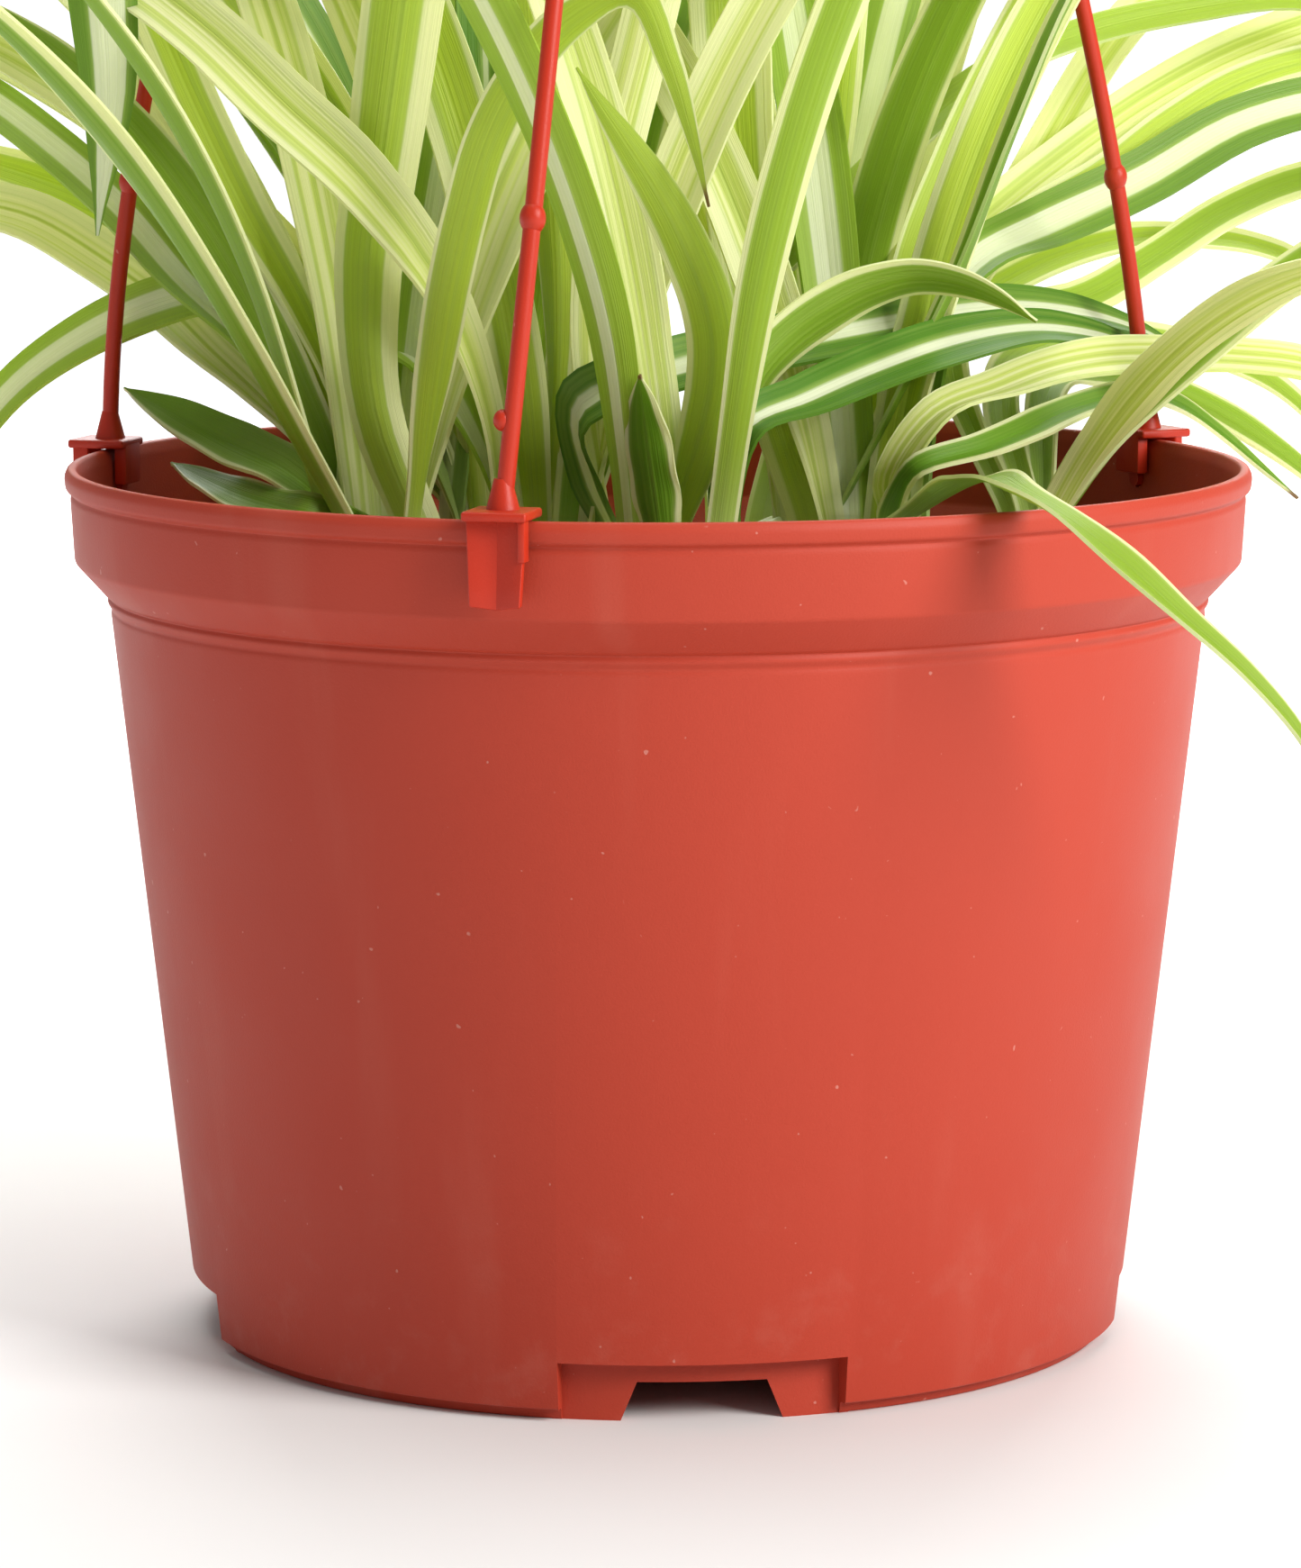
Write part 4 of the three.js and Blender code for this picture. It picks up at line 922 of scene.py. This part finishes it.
# %% [markdown]
# ## The rest of each rosette
#
# A tuft this full has more leaves than the frame holds as solids. The others are only seen, so they
# are grown here. Each leaves its crown at a launch angle from upright and bends under its own weight
# until it has drooped. Of a few fixed turns and leans, the one that cuts through the fewest other
# leaves is kept. The test is coarse, and a few crossings can be left.

# %% Grow an arching leaf
def arching_spine(start, turn, length, launch, droop):
    """Seven points of a spine that bends from launch to droop degrees from upright."""
    out = heading(turn)
    spot = start + out * 0.005 - Vector((0, 0, 0.003))
    points = [tuple(spot)]
    for step in range(6):
        angle = math.radians(launch + (droop - launch) * ((step + 0.5) / 6) ** 1.3)
        spot = spot + (out * math.sin(angle) + Vector((0, 0, math.cos(angle)))) * length / 6
        points.append(tuple(spot))
    return points


# %% Keep the new leaves out of the others
def coarse_tree(sections):
    """A ribbon of two faces per section, for finding what a leaf would cut through."""
    centres, halves, rises = (rows[2:] for rows in sections)
    rows = [row for c, h, r in zip(centres, halves, rises) for row in (c - h + r, c, c + h + r)]
    firsts = [3 * section + side for section in range(len(centres) - 1) for side in (0, 1)]
    faces = [(first, first + 1, first + 4, first + 3) for first in firsts]
    return BVHTree.FromPolygons([Vector(row) for row in rows], faces)


def outside_frame(sections):
    """True if a leaf's spine would leave the frame's box."""
    low, high = CAD_BOX
    spine = sections[0]
    return any(spine[:, axis].min() < low[axis] or spine[:, axis].max() > high[axis] for axis in range(3))


ARM_LINES = []
for turn, drawn_in, sway in ARM_BENDS.values():
    knots = bow_of(drawn_in, sway)
    for step in range(30):
        spot = Matrix.Rotation(math.radians(turn - 90), 3, "Z") @ Vector(bow_at(knots, step / 29)) * MM
        ARM_LINES.append(np.array(spot) + (0, 0, FOOT))
ARM_LINES = np.array(ARM_LINES)


def gap_to_arms(sections):
    """How far a leaf's spine stays from the hanger's arms, in metres."""
    apart = np.linalg.norm(sections[0][:, None, :] - ARM_LINES[None, :, :], axis=2)
    return apart.min()


taken = [coarse_tree(read_sections(frame["nodes"][name])) for name in leaf_nodes]

# crown, turn, length in mm, launch and droop in degrees, width in mm, share of facing, kind, tone, band
MORE_LEAVES = [
    ("back_left", -100, 160, 10, 62, 10, 0.8, EDGED, 0.8, 0.25),
    ("back_left", -106, 175, 30, 88, 11, 0.8, PALE, 0.95, 0.4),
    ("back_left", -112, 150, 34, 88, 10, 0.8, EDGED, 0.85, 0.3),
    ("left", -150, 165, 20, 76, 11, 0.8, EDGED, 0.9, 0.34),
    ("back_left", -99, 185, 24, 84, 11, 0.8, PALE, 0.95, 0.4),
    ("back_left", -118, 200, 18, 74, 11, 0.8, EDGED, 0.9, 0.32),
    ("left", -150, 190, 10, 70, 10, 0.8, PALE, 0.9, 0.35),
    ("left", 120, 170, 10, 60, 11, 0.8, PALE, 0.9, 0.4),
    ("left", 170, 210, 14, 78, 10, 0.8, CENTRED, 0.8, 0.4),
    ("left", -145, 130, 26, 70, 9, 0.7, EDGED, 0.35, 0.14),
    ("middle", 100, 190, 8, 60, 10, 0.9, PALE, 0.95, 0.4),
    ("middle", 150, 170, 10, 60, 9, 0.9, EDGED, 0.3, 0.16),
    ("middle", -140, 180, 8, 56, 11, 0.9, EDGED, 0.85, 0.3),
    ("front", -150, 160, 8, 50, 10, 0.8, PALE, 0.9, 0.4),
    ("right", 130, 170, 10, 64, 10, 0.8, EDGED, 0.9, 0.3),
    ("right", -120, 150, 6, 46, 10, 0.9, PALE, 0.95, 0.4),
    ("right", 180, 190, 8, 60, 11, 0.9, CENTRED, 0.7, 0.4),
    ("back_left", -100, 170, 12, 66, 10, 0.8, EDGED, 0.7, 0.25),
    ("back_left", -40, 150, 6, 48, 10, 0.9, PALE, 0.9, 0.4),
    ("back_left", 30, 170, 6, 50, 10, 0.9, EDGED, 0.5, 0.2),
    ("back_left", 90, 160, 8, 56, 10, 0.9, EDGED, 0.9, 0.3),
    ("back_left", 150, 220, 20, 96, 10, 0.8, CENTRED, 0.7, 0.4),
    ("back_left", -160, 240, 26, 106, 10, 0.8, EDGED, 0.8, 0.25),
    ("back_right", -80, 150, 6, 50, 10, 0.9, PALE, 0.9, 0.35),
    ("back_right", -10, 150, 6, 50, 10, 0.9, EDGED, 0.8, 0.25),
    ("back_right", 50, 160, 12, 66, 10, 0.8, EDGED, 0.4, 0.2),
    ("back_right", -170, 230, 24, 104, 10, 0.8, EDGED, 0.8, 0.3),
    ("back_right", 160, 210, 14, 84, 10, 0.8, CENTRED, 0.7, 0.4),
    ("side_right", 40, 110, 34, 92, 8, 0.7, PALE, 0.8, 0.35),
    ("side_right", 90, 140, 26, 94, 8, 0.7, EDGED, 0.4, 0.24),
]

# %% Grow the rest
NUDGES = (0, 7, -7, 14, -14, 21, -21, 28, -28)  # other turns to try, in degrees
LEANS = (0, 5, -4)  # other launches to try, in degrees
ARM_CLEARANCE = 6 * MM
AS_BAD_AS_CUTS = 20  # leaving the box or touching an arm counts as this many crossings
chance = random.Random(23)
cut_count = 0
for index, row in enumerate(MORE_LEAVES):
    crown, turn, length, launch, droop, width, facing_share, kind, tone, band = row
    best = None
    for nudge in NUDGES:
        for lean in LEANS:
            points = arching_spine(CROWN_SPOT[crown], turn + nudge, length * MM, launch + lean, droop + lean)
            sections = sections_along(points, width * MM, facing_share)
            tree = coarse_tree(sections)
            cuts = sum(1 for other in taken if tree.overlap(other))
            cuts += AS_BAD_AS_CUTS * outside_frame(sections)
            cuts += AS_BAD_AS_CUTS * (gap_to_arms(sections) < ARM_CLEARANCE)
            if best is None or cuts < best[0]:
                best = (cuts, sections, tree)
        if best[0] == 0:
            break
    cut_count += best[0]
    taken.append(best[2])
    look = (tone, band, round(chance.random(), 3))
    make_blade(f"blade_more_{index + 1}", best[1], look, kind)
print("more leaves:", len(MORE_LEAVES), "crossings left:", cut_count)

# %% [markdown]
# ## Floor and light
#
# A plain pale floor under the foot, and soft studio light: a large lamp high on the front right, a
# faint one on the left, one above and one behind so that the leaves glow, and a dim even surround.
# The floor brightens with its distance, so that it stays white where the lamps no longer reach.

# %% Floor
bpy.ops.object.select_all(action="DESELECT")
bpy.ops.mesh.primitive_plane_add(size=60, location=(0, 0, FOOT))
bpy.ops.object.transform_apply(location=True, rotation=True, scale=True)
floor = bpy.context.object
floor.name = "floor"
floor_finish, net = new_finish("floor")
place = put(net, "ShaderNodeTexCoord").outputs["Object"]
tint = blend_colours(net, pattern(net, place, 3.0, 3.0), (0.72, 0.72, 0.72, 1), (0.76, 0.76, 0.75, 1))
away = put(net, "ShaderNodeVectorMath", {0: place}, operation="LENGTH").outputs["Value"]
lit = spread(net, ease(net, away, 0.5, 1.3), 0.0, 0.85)  # far off, lit from below like a light table
sockets = {"Base Color": tint, "Roughness": 0.9, "Emission Color": (1, 1, 1, 1), "Emission Strength": lit}
close_recipe(net, put(net, "ShaderNodeBsdfPrincipled", sockets).outputs[0])
floor.data.materials.append(floor_finish)

# %% Lights
def softbox(name, place, aim, size, power, colour=(1, 1, 1)):
    bpy.ops.object.select_all(action="DESELECT")
    bpy.ops.object.light_add(type="AREA", location=place)
    lamp = bpy.context.object
    lamp.name = name
    lamp.data.size = size
    lamp.data.energy = power
    lamp.data.color = colour
    lamp.rotation_euler = (Vector(aim) - Vector(place)).to_track_quat("-Z", "Y").to_euler()
    return lamp


softbox("key", (1.14, -0.84, 0.42), (0, 0, -0.32), 0.8, 33, (1.0, 0.985, 0.96))
softbox("fill", (-1.1, -1.2, 0.2), (0, 0, -0.3), 1.2, 0.3, (0.97, 0.985, 1.0))
softbox("top", (-0.1, 0.25, 1.1), (0, 0, -0.25), 1.0, 13)
softbox("back", (0.05, 1.3, 0.5), (0, 0, -0.2), 1.2, 27)
world = bpy.context.scene.world or bpy.data.worlds.new("studio")
bpy.context.scene.world = world
world.use_nodes = True
net = world.node_tree
net.nodes.clear()
surround = put(net, "ShaderNodeBackground", {"Color": (1, 1, 1, 1), "Strength": 0.32}).outputs[0]
put(net, "ShaderNodeOutputWorld", {"Surface": surround})
bpy.context.scene.view_settings.view_transform = "Standard"
print("lights set")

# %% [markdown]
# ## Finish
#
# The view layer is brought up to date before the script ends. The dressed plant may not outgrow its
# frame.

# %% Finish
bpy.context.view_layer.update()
